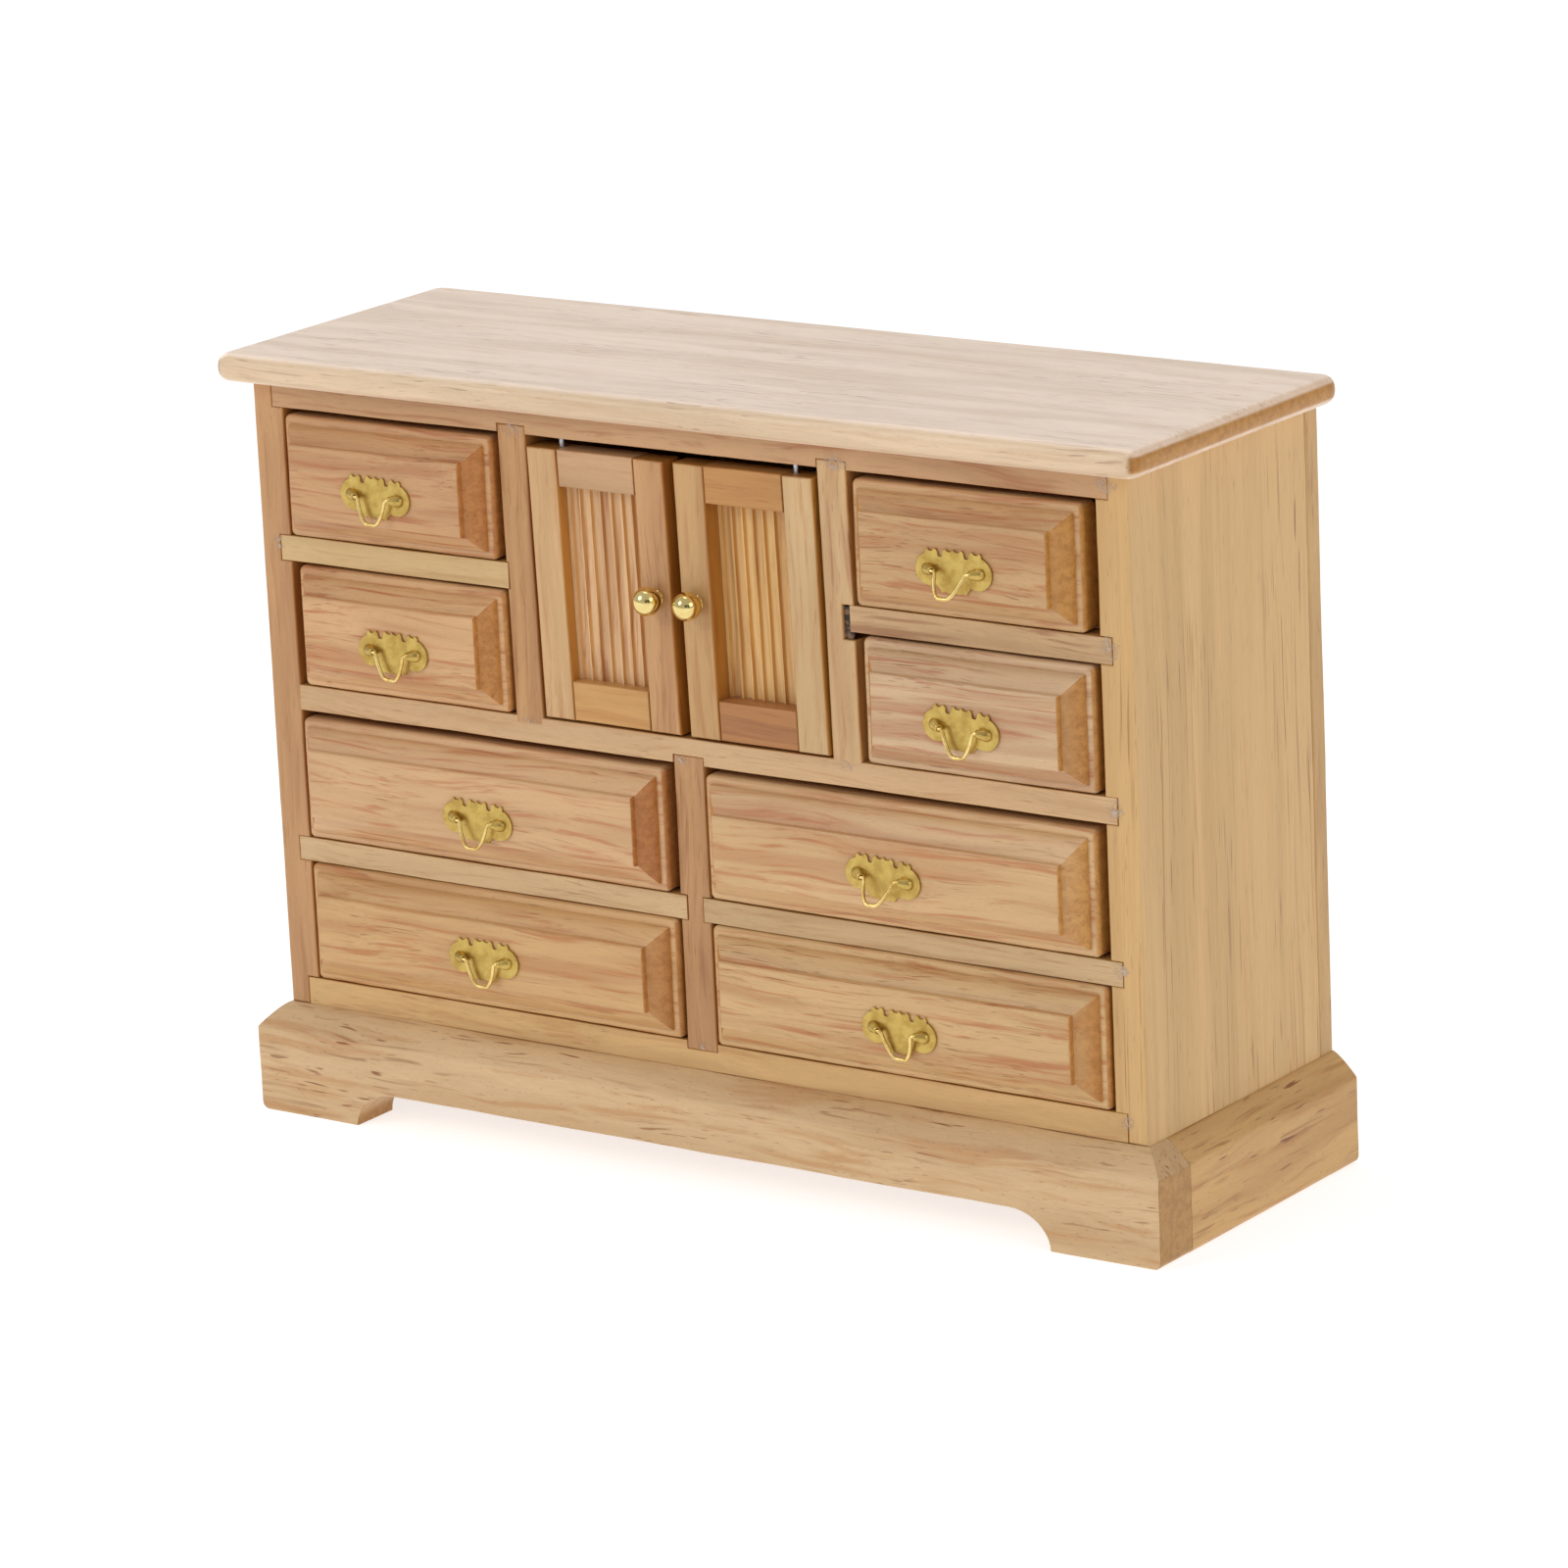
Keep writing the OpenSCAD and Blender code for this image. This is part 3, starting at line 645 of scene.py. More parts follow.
# How much painted shade a board takes from the shade tint, on which axis, and on which side of it
SHELF_SHADE = (0.7, 2, 0)
INSIDE_SHADES = {"left_divider": (0.7, 0, 0), "right_divider": (0.7, 0, 0),
                "centre_divider": (0.7, 0, 0), "left_side_panel": (0.8, 0, 1),
                "right_side_panel": (0.8, 0, -1)}
# How many times longer than usual a board's marks are
LONG_MARKS = {"right_side_panel": 3.0}


def cutter(node, middle):
    """The box of a board that is let into another one, where it crosses that board's height."""
    lo, hi = corners(node)
    if node in LEANING:
        move = Vector((lean_at(middle, lo.z, hi.z, DIVIDER_LEAN), 0, 0))
        return lo - move, hi - move
    return lo, hi


def board_outline(name):
    """A case board seen from the front, less the boards that are let into it."""
    lo, hi = corners(name)
    cutters = [cutter(node, (lo.z + hi.z) / 2) for node in LET_IN.get(name, [])]
    if name == "right_divider":
        a, b = corners("upper_right_shelf")
        cutters = [(Vector((a.x - NOTCH_DEPTH, 0, a.z - NOTCH_BELOW)), b)]
    return cut_outline(lo, hi, cutters)


def case_boards():
    for order, (name, look) in enumerate(CASE_LOOKS.items()):
        grain, tone, streak, streaks, marks, width, seed = look
        lo, hi = corners(name)
        # Boards are not quite flush: each front edge lies a hair behind the case's front
        recess = 0.0 if "panel" in name else 0.03 + 0.05 * (order * 0.37 % 1)
        piece = prism(name + "_board", board_outline(name), "y", lo.y + recess, hi.y,
                      rim=UPRIGHT_RIM if grain == "z" else SHELF_RIM, uneven=0.07, seed=seed)
        if name in LEANING:
            leaned(piece, lo.z, hi.z, DIVIDER_LEAN)
        # Painted shade on the shelves' flat faces and on the inside faces of the uprights and side
        # panels
        edge, edge_axis, one_side = INSIDE_SHADES.get(name, SHELF_SHADE)
        material = wood(name, grain, tone, streak, streaks=streaks, marks=marks, width=width,
                        length=LONG_MARKS.get(name, 1.0), edge=edge, edge_axis=edge_axis,
                        one_side=one_side, seed=seed)
        fit(piece, "case", material, "case_wood", name)


def notch_shade_filler():
    """A dark piece at the back of the over-cut housing beside the upper right shelf: painted shade
    where the gap runs back into darkness.
    """
    lo, hi = corners("upper_right_shelf")
    outline = rectangle(lo.x - NOTCH_DEPTH - 0.1, lo.z - NOTCH_BELOW - 0.1, lo.x + 0.2, hi.z - 0.3)
    piece = prism("notch_shade_filler", outline, "y", lo.y + 0.45, lo.y + 1.2, rim=0.1, uneven=0.08,
                  seed=24)
    material, nodes, shader = new_material("notch_painted_shade")
    spot, _ = millimetres(nodes, 9)
    cloud = nodes.noise(spot, 1.4, 3, 0.6)
    # Painted shade: near black with dark brown clouds
    colour = nodes.mix(nodes.step(cloud, 0.5, 0.62), srgb(34, 20, 10), srgb(120, 92, 68))
    nodes.put(shader, "Base Color", colour)
    nodes.put(shader, "Roughness", nodes.step(cloud, 0.3, 0.7, 0.45, 0.7))
    fit(piece, "case", material, "case_wood")


TOP_CORNER = 2.2
TOP_RIM = 1.45


def top_board():
    lo, hi = corners("top_board")
    outline = rounded(rectangle(lo.x, lo.y, hi.x, hi.y), TOP_CORNER, 6)
    piece = prism("top_slab", outline, "z", lo.z, hi.z, rim=TOP_RIM, uneven=0.09, seed=31,
                  step=2.0, length_step=0.5)
    # The top's pale tone is the wood's colour brightened with painted sheen; its front and back
    # edges take painted shade from the edge shade tint
    look = wood("top_board", "x", (248, 225, 203), (222, 184, 148), end=(190, 134, 58),
                streaks=0.28, marks=0.45, width=1.1, gloss=0.3, edge=1.0, edge_axis=1,
                shade_tint=TOP_EDGE_SHADE_TINT, seed=31)
    fit(piece, "case", look, "top_wood", "top_board")


# ---------------- the plinth

ARCH_HALF = 49.5
ARCH_RISE = 5.5
ARCH_HEIGHT = 4.4
SLOPE_W = 3.1
SLOPE_H = 2.8
SLOPE_CURVE = 1.35
SLOPE_CUTS = 12
PLINTH_LOOK = ((202, 169, 126), (184, 130, 78))


def shoulder(height, outer, inward):
    """The rounded slope along the top of a plinth board, from the case down to its outer face."""
    return [(outer + inward * SLOPE_W * t, height - SLOPE_H * (1 - t) ** SLOPE_CURVE)
            for t in [k / 10 for k in range(10, -1, -1)]]


def foot(outer, inward, radius=0.9):
    """The rounded bottom outer corner of a plinth board."""
    return [(outer + inward * radius * (1 - math.cos(a)), radius * (1 - math.sin(a)))
            for a in quarter(4)]


def plinth_front():
    lo, hi = corners("plinth_front")
    arch = [(-ARCH_HALF + ARCH_RISE * (1 - math.cos(a)), ARCH_HEIGHT * math.sin(a))
            for a in quarter(12)]
    half = shoulder(hi.z, lo.x, 1) + foot(lo.x, 1) + arch
    bm = bmesh.new()
    add_prism(bm, half + mirrored(half), "y", lo.y, hi.y, rim=0.12, uneven=0.1, seed=41, step=2.0)
    for k in range(1, SLOPE_CUTS + 1):
        spot = (0, 0, hi.z - k * SLOPE_H / SLOPE_CUTS)
        bmesh.ops.bisect_plane(bm, geom=bm.verts[:] + bm.edges[:] + bm.faces[:], plane_co=spot,
                               plane_no=(0, 0, 1))
    # The slope runs along the front face too
    for vertex in bm.verts:
        down = min(max((hi.z - vertex.co.z) / SLOPE_H, 0), 1)
        vertex.co.y = max(vertex.co.y, lo.y + SLOPE_W * (1 - down ** (1 / SLOPE_CURVE)))
    look = wood("plinth_front", "x", *PLINTH_LOOK, end=(182, 136, 75), streaks=0.55, marks=0.9,
                width=1.5, seed=41)
    fit(crisp(finished("plinth_front_board", bm)), "case", look, "plinth_wood", "plinth_front")


def plinth_side(side, sign):
    lo, hi = corners(f"plinth_{side}")
    outer, inner = (lo.x, hi.x) if side == "left" else (hi.x, lo.x)
    height = corners("plinth_front")[1].z
    points = [(inner, 0), (inner, height)] + shoulder(height, outer, -sign) + foot(outer, -sign)
    board = prism(f"plinth_{side}_board", points, "y", lo.y, hi.y, rim=0.06, uneven=0.08,
                  seed=43 + sign)
    look = wood(f"plinth_{side}", "y", (197, 154, 95), (173, 115, 56), streaks=0.6, marks=0.9,
                width=1.4, seed=43 + sign)
    fit(board, "case", look, "plinth_wood", f"plinth_{side}")


def plinth_back():
    lo, hi = corners("plinth_back")
    board = prism("plinth_back_board", rectangle(lo.x, lo.z, hi.x, hi.z), "y", lo.y, hi.y, seed=46)
    look = wood("plinth_back", "x", *PLINTH_LOOK, marks=0.7, width=1.4, seed=46)
    fit(board, "case", look, "plinth_wood", "plinth_back")


# ---------------- the doors

# Tone, streak colour and seed of each board; the panels also have their amount of streaks
PANEL_LOOKS = {
    "left": ((216, 176, 130), (170, 104, 60), 0.6, 61),
    "right": ((216, 174, 113), (178, 116, 60), 0.5, 62),
}
STILE_LOOKS = {
    "left": ((201, 162, 115), (182, 126, 80), 63),
    "right": ((200, 166, 120), (184, 132, 84), 64),
}
RAIL_LOOKS = {
    "left_top": ((190, 151, 111), (172, 126, 88), 65),
    "left_bottom": ((196, 148, 89), (184, 126, 68), 66),
    "right_top": ((184, 133, 76), (170, 112, 60), 67),
    "right_bottom": ((172, 118, 70), (136, 80, 48), 68),
}
CLOSING_STILE_LOOKS = {
    "left": ((191, 145, 98), (158, 94, 58), 70),
    "right": ((190, 149, 99), (170, 116, 68), 71),
}
STILE_W = 4.2
TOP_RAIL_H = 4.4
BOTTOM_RAIL_H = 4.7
FLUTES = 7
FLUTE_PITCH = 1.47
FLUTE_EDGE = 0.24
FLUTE_DEPTH = 0.44


def door_stile(side, name, x0, x1, look, replaced=()):
    lo, hi = corners(f"{side}_door_stiles")
    tone, streak, seed = look
    name = f"{side}_{name}_stile"
    piece = prism(name, rectangle(x0, lo.z, x1, hi.z), "y", lo.y, hi.y, rim=0.3, uneven=0.07,
                  seed=seed)
    # Painted shade: the stiles' sides, which look across the door, are darkened and warmed by the
    # shade tint
    material = wood(name, "z", tone, streak, marks=0.4, streaks=0.5, edge=1.0, seed=seed)
    return fit(piece, f"{side}_door", material, "door_frame_wood", *replaced)


def door_rail(side, name, x0, x1, z0, z1, replaced=()):
    """A rail with a hair's gap at its joints, its face a little behind the stiles'."""
    lo, hi = corners(f"{side}_door_stiles")
    tone, streak, seed = RAIL_LOOKS[f"{side}_{name}"]
    name = f"{side}_{name}_rail"
    piece = prism(name, rectangle(x0 + 0.04, z0 + 0.05, x1 - 0.04, z1), "y", lo.y + 0.06, hi.y,
                  rim=0.22, uneven=0.05, seed=seed)
    material = wood(name, "x", tone, streak, marks=0.35, streaks=0.5, seed=seed)
    return fit(piece, f"{side}_door", material, "door_frame_wood", *replaced)


def door(side):
    lo, hi = corners(f"{side}_door_stiles")
    x0, x1 = lo.x + STILE_W, hi.x - STILE_W
    z0, z1 = lo.z + BOTTOM_RAIL_H, hi.z - TOP_RAIL_H
    hinge, closing = (lo.x, x0), (x1, hi.x)
    if side == "right":
        hinge, closing = closing, hinge
    pieces = [
        door_stile(side, "hinge", *hinge, STILE_LOOKS[side], [f"{side}_door_stiles"]),
        door_stile(side, "closing", *closing, CLOSING_STILE_LOOKS[side]),
        door_rail(side, "bottom", x0, x1, lo.z, z0, [f"{side}_door_rails"]),
        door_rail(side, "top", x0, x1, z1, hi.z),
        fluted_panel(side, x0, x1, z0, z1),
    ]
    for piece in pieces:
        leaned(piece, lo.z, hi.z, DOOR_LEAN)


def fluted_panel(side, x0, x1, z0, z1):
    """A thin board with upright flutes, slightly unequal as cut by hand."""
    lo, hi = corners(f"{side}_door_panel")
    first = (x0 + x1 - (FLUTES - 1) * FLUTE_PITCH) / 2
    half = (FLUTE_PITCH - FLUTE_EDGE) / 2
    points = [(x1, hi.y), (x0, hi.y), (x0, lo.y)]
    for k in range(FLUTES):
        wander = 0.06 * math.sin(5.1 * k + (1 if side == "left" else 3))
        for j in range(11):
            t = j / 5 - 1
            y = lo.y + FLUTE_DEPTH * math.sqrt(max(0.0, 1 - abs(t) ** 2.4))
            points.append((first + k * FLUTE_PITCH + half * t + wander, y))
    points.append((x1, lo.y))
    piece = prism(f"{side}_fluted_panel", points, "z", z0, z1, rim=0.0, uneven=0.05, seed=71,
                  step=0.6, length_step=1.5)
    tone, streak, streaks, seed = PANEL_LOOKS[side]
    # Painted shade: the sideways-looking walls of the flutes are darkened and warmed by the shade
    # tint, so the crests stay pale
    look = wood(f"{side}_panel", "z", tone, streak, streaks=streaks, marks=0.3, width=0.75,
                edge=0.75, seed=seed)
    return fit(piece, f"{side}_door", look, "fluted_panel_wood", f"{side}_door_panel")


KNOB_NECK_R = 0.7
KNOB_COLLAR_R = 0.95


def knob(side):
    """A ball on a short neck with a collar against the door's face."""
    lo, hi = corners(f"{side}_door_knob")
    radius = (hi.x - lo.x) / 2
    face = corners(f"{side}_door_stiles")[0].y
    centre = Vector(((lo.x + hi.x) / 2, lo.y + radius, (lo.z + hi.z) / 2))
    neck = face - centre.y
    profile = [(neck + 0.1, 0.0), (neck + 0.1, KNOB_COLLAR_R), (neck - 0.05, KNOB_COLLAR_R),
               (neck - 0.12, 0.8), (neck - 0.3, KNOB_NECK_R)]
    first = math.asin(KNOB_NECK_R / radius)
    turns = [first + (math.pi - first) * k / 26 for k in range(27)]
    profile += [(radius * math.cos(a), radius * math.sin(a)) for a in turns]
    bm = bmesh.new()
    add_lathe(bm, profile, centre, "y", 48)
    fit(finished(f"{side}_ball_knob", bm), f"{side}_door", BRASS_BALL, "brass_knobs",
        f"{side}_door_knob")


# ---------------- the drawers

# Tone, streak colour, streaks, marks, grain width and seed of each drawer front
FRONT_LOOKS = {
    1: ((191, 147, 103), (168, 94, 54), 0.75, 0.6, 0.75, 81),
    2: ((201, 158, 112), (175, 100, 56), 0.75, 0.6, 0.8, 82),
    3: ((191, 152, 107), (172, 102, 56), 0.68, 0.6, 0.75, 83),
    4: ((199, 166, 128), (173, 102, 66), 0.68, 0.6, 0.75, 84),
    5: ((201, 161, 117), (180, 108, 64), 0.68, 0.5, 0.8, 85),
    6: ((198, 157, 106), (178, 107, 58), 0.68, 0.5, 0.8, 86),
    7: ((202, 164, 118), (180, 108, 62), 0.68, 0.5, 0.85, 87),
    8: ((199, 162, 113), (178, 106, 58), 0.68, 0.6, 0.8, 88),
}
# Colour of the end grain of each front's moulding
END_TONES = {1: (190, 126, 66), 2: (196, 136, 72), 3: (192, 136, 66), 4: (188, 132, 66),
             5: (184, 120, 64), 6: (188, 130, 70), 7: (200, 146, 78), 8: (190, 132, 66)}
# Widths of the moulding at the left, right, bottom and top of each front
MOULDINGS = {1: (2.8, 3.0, 3.2, 3.0), 2: (2.8, 2.7, 3.4, 3.0), 3: (2.9, 3.2, 3.3, 3.1),
             4: (2.9, 3.3, 3.2, 3.3), 5: (2.9, 3.0, 3.7, 3.3), 6: (2.9, 3.4, 3.7, 3.3),
             7: (2.9, 3.6, 3.2, 4.1), 8: (2.9, 3.6, 3.5, 3.4)}
BEAD = 0.7
RISE_AT = 1.05
SLOPE_RUN = 1.5
SLOPE_FOOT = 0.35
CORNER = 0.75
FRONT_BACK = 2.8
MOULDING_W = 2.8


def edge_profile(height):
    """Moulding of a drawer front: distance in from the edge, height over its lip."""
    bead = [(BEAD * (1 - math.cos(a)), BEAD * (math.sin(a) - 1)) for a in quarter(6)]
    slope = [(RISE_AT + SLOPE_RUN * t, SLOPE_FOOT + (height - 1.15) * t ** 0.8)
             for t in [k / 8 for k in range(9)]]
    top = [(2.6, height - 0.75), (2.62, height - 0.34), (2.66, height - 0.12),
           (2.76, height - 0.02), (2.9, height)]
    return bead + [(RISE_AT - 0.04, 0.0)] + slope + top


def stretched(margin, width):
    """Distance in from an edge whose moulding is worked to the given width."""
    if margin <= RISE_AT:
        return margin
    return RISE_AT + (margin - RISE_AT) * (width - RISE_AT) / (MOULDING_W - RISE_AT)


def front_ring(lo, hi, margin, corner, widths):
    """A rounded rectangle with the same number of points for every margin."""
    left, right, bottom, top = [stretched(margin, width) for width in widths]
    r = max(corner - margin, 0.05)
    x0, x1, z0, z1 = lo.x + left + r, hi.x - right - r, lo.z + bottom + r, hi.z - top - r
    points = []
    for cx, cz, start, ahead in ((x1, z1, 0, (x0, z1 + r)), (x0, z1, 90, (x0 - r, z0)),
                                 (x0, z0, 180, (x1, z0 - r)), (x1, z0, 270, (x1 + r, z1))):
        points += arc(cx, cz, r, start, start + 90, 5)
        parts = 30 if start in (0, 180) else 12
        here = Vector(points[-1])
        points += [tuple(here.lerp(Vector(ahead), k / parts)) for k in range(1, parts)]
    return points


def drawer_front(i):
    lo, hi = corners(f"drawer_{i}_front")
    centre = (lo + hi) / 2
    raised = (hi.y - lo.y) - FRONT_BACK
    lip = lo.y + raised
    tone, streak, streaks, marks, width, seed = FRONT_LOOKS[i]
    bm = bmesh.new()
    rings = []
    for margin, height in [(0.0, -FRONT_BACK)] + edge_profile(raised):
        ring = []
        for x, z in front_ring(lo, hi, margin, CORNER, MOULDINGS[i]):
            spot = Vector((x, lip - height, z))
            shift = unevenness(spot, seed, 10) * 0.08
            # The panel's face, where the pull sits, and the back stay flat
            flat = height > raised - 0.01 or height < -1
            shift.y = 0 if flat else shift.y * 0.6
            shift.x = -abs(shift.x) * math.copysign(1, x - centre.x)
            shift.z = -abs(shift.z) * math.copysign(1, z - centre.z)
            ring.append(bm.verts.new(spot + shift))
        rings.append(ring)
    ring_faces(bm, rings)
    bm.faces.new(rings[0])
    bm.faces.new(rings[-1][::-1])
    piece = crisp(finished(f"drawer_{i}_moulded_front", bm))
    look = wood(f"drawer_{i}_front", "x", tone, streak, end=END_TONES[i], streaks=streaks,
                marks=marks, width=width, seed=seed)
    fit(piece, f"drawer_{i}", look, "drawer_front_wood", f"drawer_{i}_front")


TRAY_SIDE = 2.0
TRAY_BOTTOM = 1.2
TRAY_LIFT = 0.3
TRAY_LOOKS = {
    grain: wood(f"tray_wood_{grain}", grain, (222, 192, 148), (200, 156, 104), streaks=0.4,
                marks=0.3, width=1.3, gloss=0.05, seed=95)
    for grain in "xy"
}


def drawer_tray(i):
    """The tray behind a front: two sides, a back, and a bottom a little above their edges."""
    lo, hi = corners(f"drawer_{i}_box")
    x0, x1 = lo.x + TRAY_SIDE, hi.x - TRAY_SIDE
    y1 = hi.y - TRAY_SIDE
    z0 = lo.z + TRAY_LIFT
    boards = {
        "left": (rectangle(lo.x, lo.z, x0, hi.z), lo.y, hi.y, "y"),
        "right": (rectangle(x1, lo.z, hi.x, hi.z), lo.y, hi.y, "y"),
        "back": (rectangle(x0, lo.z, x1, hi.z), y1, hi.y, "x"),
        "bottom": (rectangle(x0, z0, x1, z0 + TRAY_BOTTOM), lo.y, y1, "x"),
    }
    for order, (name, (outline, start, end, grain)) in enumerate(boards.items()):
        piece = prism(f"drawer_{i}_{name}", outline, "y", start, end, rim=0.2, uneven=0.04,
                      seed=100 + 5 * i + order, step=2.5)
        replaced = [f"drawer_{i}_box"] if name == "left" else []
        fit(piece, f"drawer_{i}", TRAY_LOOKS[grain], "drawer_box_wood", *replaced)


# ---------------- the pulls

PLATE_T = 0.3
LOBE = 1.9
PLATE_HALF = 5.05
# Each post is a hollow horn that leans in from its lobe and takes an end of the wire in its tip
HORN_BASE = 3.3
HORN_TIP = 2.42
HORN_R = 0.75
TIP_R = 0.45
BORE_R = 0.32
BORE_DEPTH = 0.6
WIRE_R = 0.22
WIRE_END = 2.56
BAIL_DROP = 3.1
BAIL_REST = 7
# How far each plate is turned out of level, and each wire bent sideways
PLATE_TILT = {1: 2, 4: 4, 5: 2.5, 7: 4, 8: 3}
WIRE_BEND = {5: -0.1, 8: 0.45}


def smoothed(points, rounds=2):
    """Cuts the corners of an open line of points, keeping its two ends."""
    for _ in range(rounds):
        cut = [points[0]]
        for a, b in zip(points, points[1:]):
            a, b = Vector(a), Vector(b)
            cut += [tuple(a.lerp(b, 0.25)), tuple(a.lerp(b, 0.75))]
        points = cut + [points[-1]]
    return points


def plate_outline():
    """Half outline from the middle of the top to the middle of the foot, then its mirror."""
    top = [(0, 2.46), (0.35, 2.16), (0.7, 2.16), (1.0, 2.48), (1.36, 2.3), (1.46, 1.6),
           (1.78, 1.5), (2.04, 1.62), (2.12, 2.25), (2.5, 2.44), (2.85, 2.08), (3.15, 2.08),
           (3.45, 2.4), (3.72, 2.1), (3.75, 1.78)]
    lobe = arc(PLATE_HALF - LOBE, 0, LOBE, 62, -117, 18)
    low = [(1.85, -2.15), (1.6, -2.6), (1.15, -2.4), (0.7, -2.6), (0, -2.4)]
    half = smoothed(top, 1) + lobe + smoothed(low)
    return half + [(x, z) for x, z in mirrored(half) if x < 0]


def pull_centre(i):
    """The middle of a pull's post line, which is its bail's hinge axis."""
    return Vector(JOINTS[f"bail_{i}_swing"]["pos_m"]) / MM


def horn_profile(length):
    """Distance along the horn's axis and radius, from its rounded back to its bored tip."""
    back = [(HORN_R * (0.05 - math.cos(a)) - 0.2, HORN_R * math.sin(a)) for a in quarter(6)]
    front = [(0.15, 0.72), (0.4, 0.65), (0.65, 0.56), (0.85, 0.5), (length - 0.05, TIP_R),
             (length, TIP_R - 0.05), (length, BORE_R), (length - BORE_DEPTH, BORE_R),
             (length - BORE_DEPTH, 0.0)]
    return back + front


def add_horn(bm, base, tip):
    """A horn whose axis runs from its base on the plate to its tip."""
    axis = tip - base
    place = Matrix.Translation(base) @ axis.to_track_quat("Z", "Y").to_matrix().to_4x4()
    for ring in add_lathe(bm, horn_profile(axis.length), Vector((0, 0, 0)), "z", 32):
        for vertex in ring:
            vertex.co = place @ vertex.co


def pull_plate(i):
    centre = pull_centre(i)
    face = corners(f"drawer_{i}_front")[0].y
    tilt = math.radians(PLATE_TILT.get(i, 0))
    outline = [(centre.x + x * math.cos(tilt) + z * math.sin(tilt),
                centre.z + z * math.cos(tilt) - x * math.sin(tilt)) for x, z in plate_outline()]
    bm = bmesh.new()
    add_prism(bm, outline, "y", face - PLATE_T, face - 0.005, rim=0.06, uneven=0.0, step=0.5)
    for sign in (-1, 1):
        base = Vector((centre.x + sign * HORN_BASE, face - PLATE_T,
                       centre.z - sign * HORN_BASE * math.sin(tilt)))
        add_horn(bm, base, Vector((centre.x + sign * HORN_TIP, centre.y, centre.z)))
    fit(crisp(finished(f"drawer_{i}_pull_plate", bm)), f"drawer_{i}", BRASS_SHEET,
        "brass_plates", f"drawer_{i}_plate")


def bail_path():
    """Centre line of the wire from one horn to the other, hanging straight down."""
    half = smoothed([(WIRE_END, 0), (2.4, 0), (2.2, 0), (2.0, -0.12), (1.88, -0.6), (1.74, -1.2),
                     (1.52, -1.8), (1.2, -2.5), (0.7, -BAIL_DROP), (0, -BAIL_DROP)])
    return half[:-1] + mirrored(half)


def pull_bail(i):
    """The wire of a pull, a little uneven, at the angle that it hangs at."""
    low = JOINTS[f"bail_{i}_swing"]["range_deg"][0]
    swing = math.radians(-low - BAIL_REST)
    rng = random.Random(i)
    sway, splay, slant = [rng.uniform(-0.05, 0.05) for _ in range(3)]
    aside = sway * 2 + WIRE_BEND.get(i, 0)
    path = []
    for x, z in bail_path():
        down = max(0.0, -z / BAIL_DROP)
        path.append(Vector((x + aside * down + splay * down * math.copysign(1, x), 0,
                            z + slant * down * x / 2)))
    bm = bmesh.new()
    add_tube(bm, path, WIRE_R)
    bm.transform(Matrix.Translation(pull_centre(i)) @ Matrix.Rotation(-swing, 4, "X"))
    fit(finished(f"drawer_{i}_wire_bail", bm), f"bail_{i}", BRASS_WIRE, "brass_wire",
        f"drawer_{i}_bail")


# ---------------- glue marks


# x, z, half width and half height of each smear
SMEARS = ((-22.6, 87.2, 2.0, 0.9), (22.3, 87.6, 2.2, 1.0), (58.2, 88.6, 1.8, 1.2),
          (58.2, 70.2, 1.6, 1.6), (-58.6, 70.4, 0.9, 1.4), (-22.5, 52.7, 1.2, 0.5),
          (22.0, 52.5, 1.6, 0.6), (0.4, 16.2, 1.6, 0.6), (-1.0, 50.4, 1.2, 0.6),
          (58.2, 33.2, 1.3, 1.1), (58.0, 51.6, 1.4, 1.2), (58.4, 15.6, 1.2, 1.0))
SMEAR_POINTS = 18


def glue_marks():
    """Thin whitish smears on the case's front where rails and uprights meet."""
    bm = bmesh.new()
    fade = bm.verts.layers.float.new("fade")
    for order, (x, z, w, h) in enumerate(SMEARS):
        rings = []
        for scale, out, strength in ((1, -0.01, 0), (0.6, 0.012, 0.6), (0.2, 0.02, 1)):
            ring = []
            for k in range(SMEAR_POINTS):
                a = 2 * math.pi * k / SMEAR_POINTS
                around = (math.cos(a) * 1.6 + order, math.sin(a) * 1.6, order)
                ragged = 1 + 0.5 * noise.noise(around)
                vertex = bm.verts.new((x + w * scale * ragged * math.cos(a), FRONT - out,
                                       z + h * scale * ragged * math.sin(a)))
                vertex[fade] = strength
                ring.append(vertex)
            rings.append(ring)
        ring_faces(bm, rings)
        bm.faces.new(rings[0][::-1])
        bm.faces.new(rings[-1])
    fit(finished("glue_marks", bm), "case", glue_material(), "case_wood")


# ---------------- camera, light and floor

# Camera place and aim from the case's front edge, in millimetres and degrees
CAMERA_AT = (472.2, -639.5, 264.5)
CAMERA_AIM = (-0.56230, 0.78376, -0.26370)
CAMERA_ROLL = 2.6
CAMERA_LENS = 164.94


def camera():
    aim = Vector(CAMERA_AIM).normalized()
    across = aim.cross(Vector((0, 0, 1))).normalized()
    down = aim.cross(across).normalized()
    roll = math.radians(CAMERA_ROLL)
    right = across * math.cos(roll) + down * math.sin(roll)
    up = right.cross(aim)
    data = bpy.data.cameras.new("camera")
    data.lens = CAMERA_LENS
    data.sensor_width = 36
    data.clip_start = 0.01
    eye = bpy.data.objects.new("camera", data)
    place = (Vector(CAMERA_AT) + Vector((0, FRONT, 0))) * MM
    turn = Matrix((right, up, -aim)).transposed()
    eye.matrix_world = Matrix.Translation(place) @ turn.to_4x4()
    bpy.context.scene.collection.objects.link(eye)
    bpy.context.scene.camera = eye


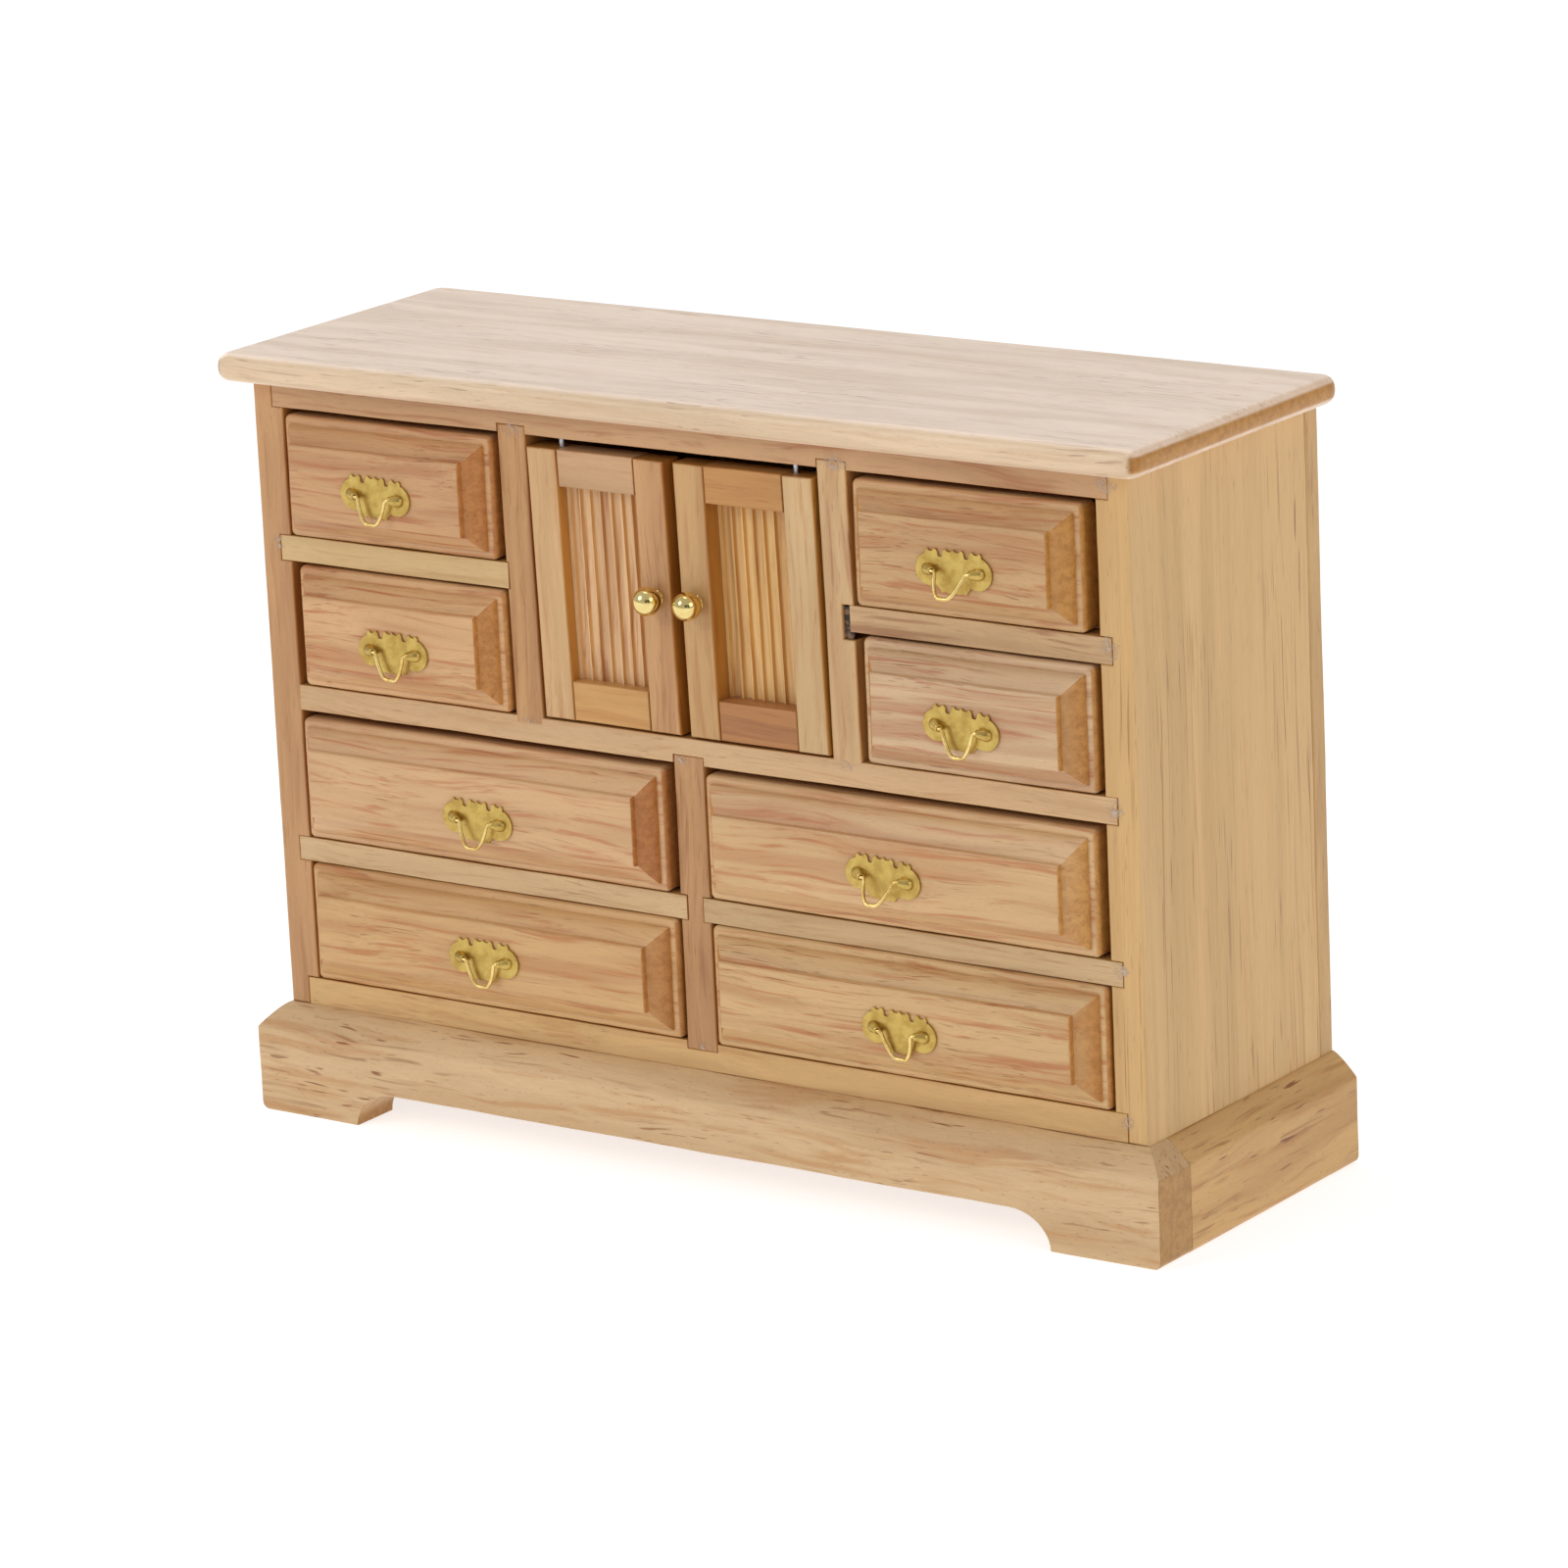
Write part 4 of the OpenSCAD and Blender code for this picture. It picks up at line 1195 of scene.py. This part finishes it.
# Place in metres, diameter in metres and power in watts of each lamp
LAMPS = {"key": ((-0.45, -0.75, 0.6), 0.4, 2.1), "side": ((0.9, -0.3, 0.5), 0.5, 1.1),
         "top": ((-0.1, 0.05, 0.95), 0.5, 1.0), "strip": ((-0.85, 0.3, 0.4), 0.45, 1.6)}
ROOM_LIGHT = 0.56
FLOOR_GREY = 0.5
FLOOR_GLOW = 0.72
# Across, up, half width and half height of each card, in metres
CARDS = ((0, 0.08, 0.3, 0.08), (-0.2, -0.08, 0.1, 0.14), (0.14, -0.1, 0.14, 0.08))
CARD_AWAY = 0.95
CHEST_MIDDLE = Vector((0, 0, 0.045))


def area_light(name, place, size, power):
    data = bpy.data.lights.new(name, "AREA")
    data.shape = "DISK"
    data.size = size
    data.energy = power
    light = bpy.data.objects.new(name, data)
    light.location = place
    aim = CHEST_MIDDLE - Vector(place)
    light.rotation_euler = aim.to_track_quat("-Z", "Y").to_euler()
    bpy.context.scene.collection.objects.link(light)
    return light


def dark_cards():
    """What the knobs mirror in front of the chest; only reflections see it."""
    material, _, shader = new_material("dark_card")
    shader.inputs["Base Color"].default_value = (0.03, 0.028, 0.022, 1)
    shader.inputs["Roughness"].default_value = 0.9
    toward = Vector((0.56, -0.78, 0.26)).normalized()
    across = toward.cross(Vector((0, 0, 1))).normalized()
    up = across.cross(toward)
    for k, (x, z, wide, high) in enumerate(CARDS):
        bm = bmesh.new()
        for u, v in ((-wide, -high), (wide, -high), (wide, high), (-wide, high)):
            spot = toward * CARD_AWAY + across * (x + u) + up * (z + v) + Vector((0, 0, 0.06))
            bm.verts.new(spot / MM)
        bm.faces.new(bm.verts[:])
        card = finished(f"dark_card_{k}", bm, stage=True)
        card.data.materials.append(material)
        for ray in ("camera", "diffuse", "transmission", "volume_scatter", "shadow"):
            setattr(card, f"visible_{ray}", False)


def floor():
    """A plain pale floor that glows a little, so that shadows on it stay light."""
    bm = bmesh.new()
    bmesh.ops.create_grid(bm, x_segments=2, y_segments=2, size=6000)
    ground = finished("floor", bm, stage=True)
    material, _, shader = new_material("pale_floor")
    shader.inputs["Base Color"].default_value = (FLOOR_GREY, FLOOR_GREY, FLOOR_GREY, 1)
    shader.inputs["Roughness"].default_value = 0.8
    shader.inputs["Emission Color"].default_value = (1, 1, 1, 1)
    shader.inputs["Emission Strength"].default_value = FLOOR_GLOW
    ground.data.materials.append(material)


def studio():
    scene = bpy.context.scene
    scene.view_settings.view_transform = "Standard"
    world = bpy.data.worlds.new("studio")
    world.use_nodes = True
    world.node_tree.nodes["Background"].inputs[0].default_value = (1, 1, 1, 1)
    world.node_tree.nodes["Background"].inputs[1].default_value = ROOM_LIGHT
    scene.world = world
    lamps = {name: area_light(name, *lamp) for name, lamp in LAMPS.items()}
    # The strip at the far left is there for the edges of the brass: only reflections see it
    lamps["strip"].visible_diffuse = False
    floor()
    dark_cards()


camera()
studio()
case_boards()
notch_shade_filler()
top_board()
plinth_front()
plinth_side("left", -1)
plinth_side("right", 1)
plinth_back()
for side in SIDES:
    door(side)
    knob(side)
for i in DRAWERS:
    drawer_front(i)
    drawer_tray(i)
    pull_plate(i)
    pull_bail(i)
glue_marks()
frame["nodes"]["door_pins"].data.materials.clear()
frame["nodes"]["door_pins"].data.materials.append(STEEL)
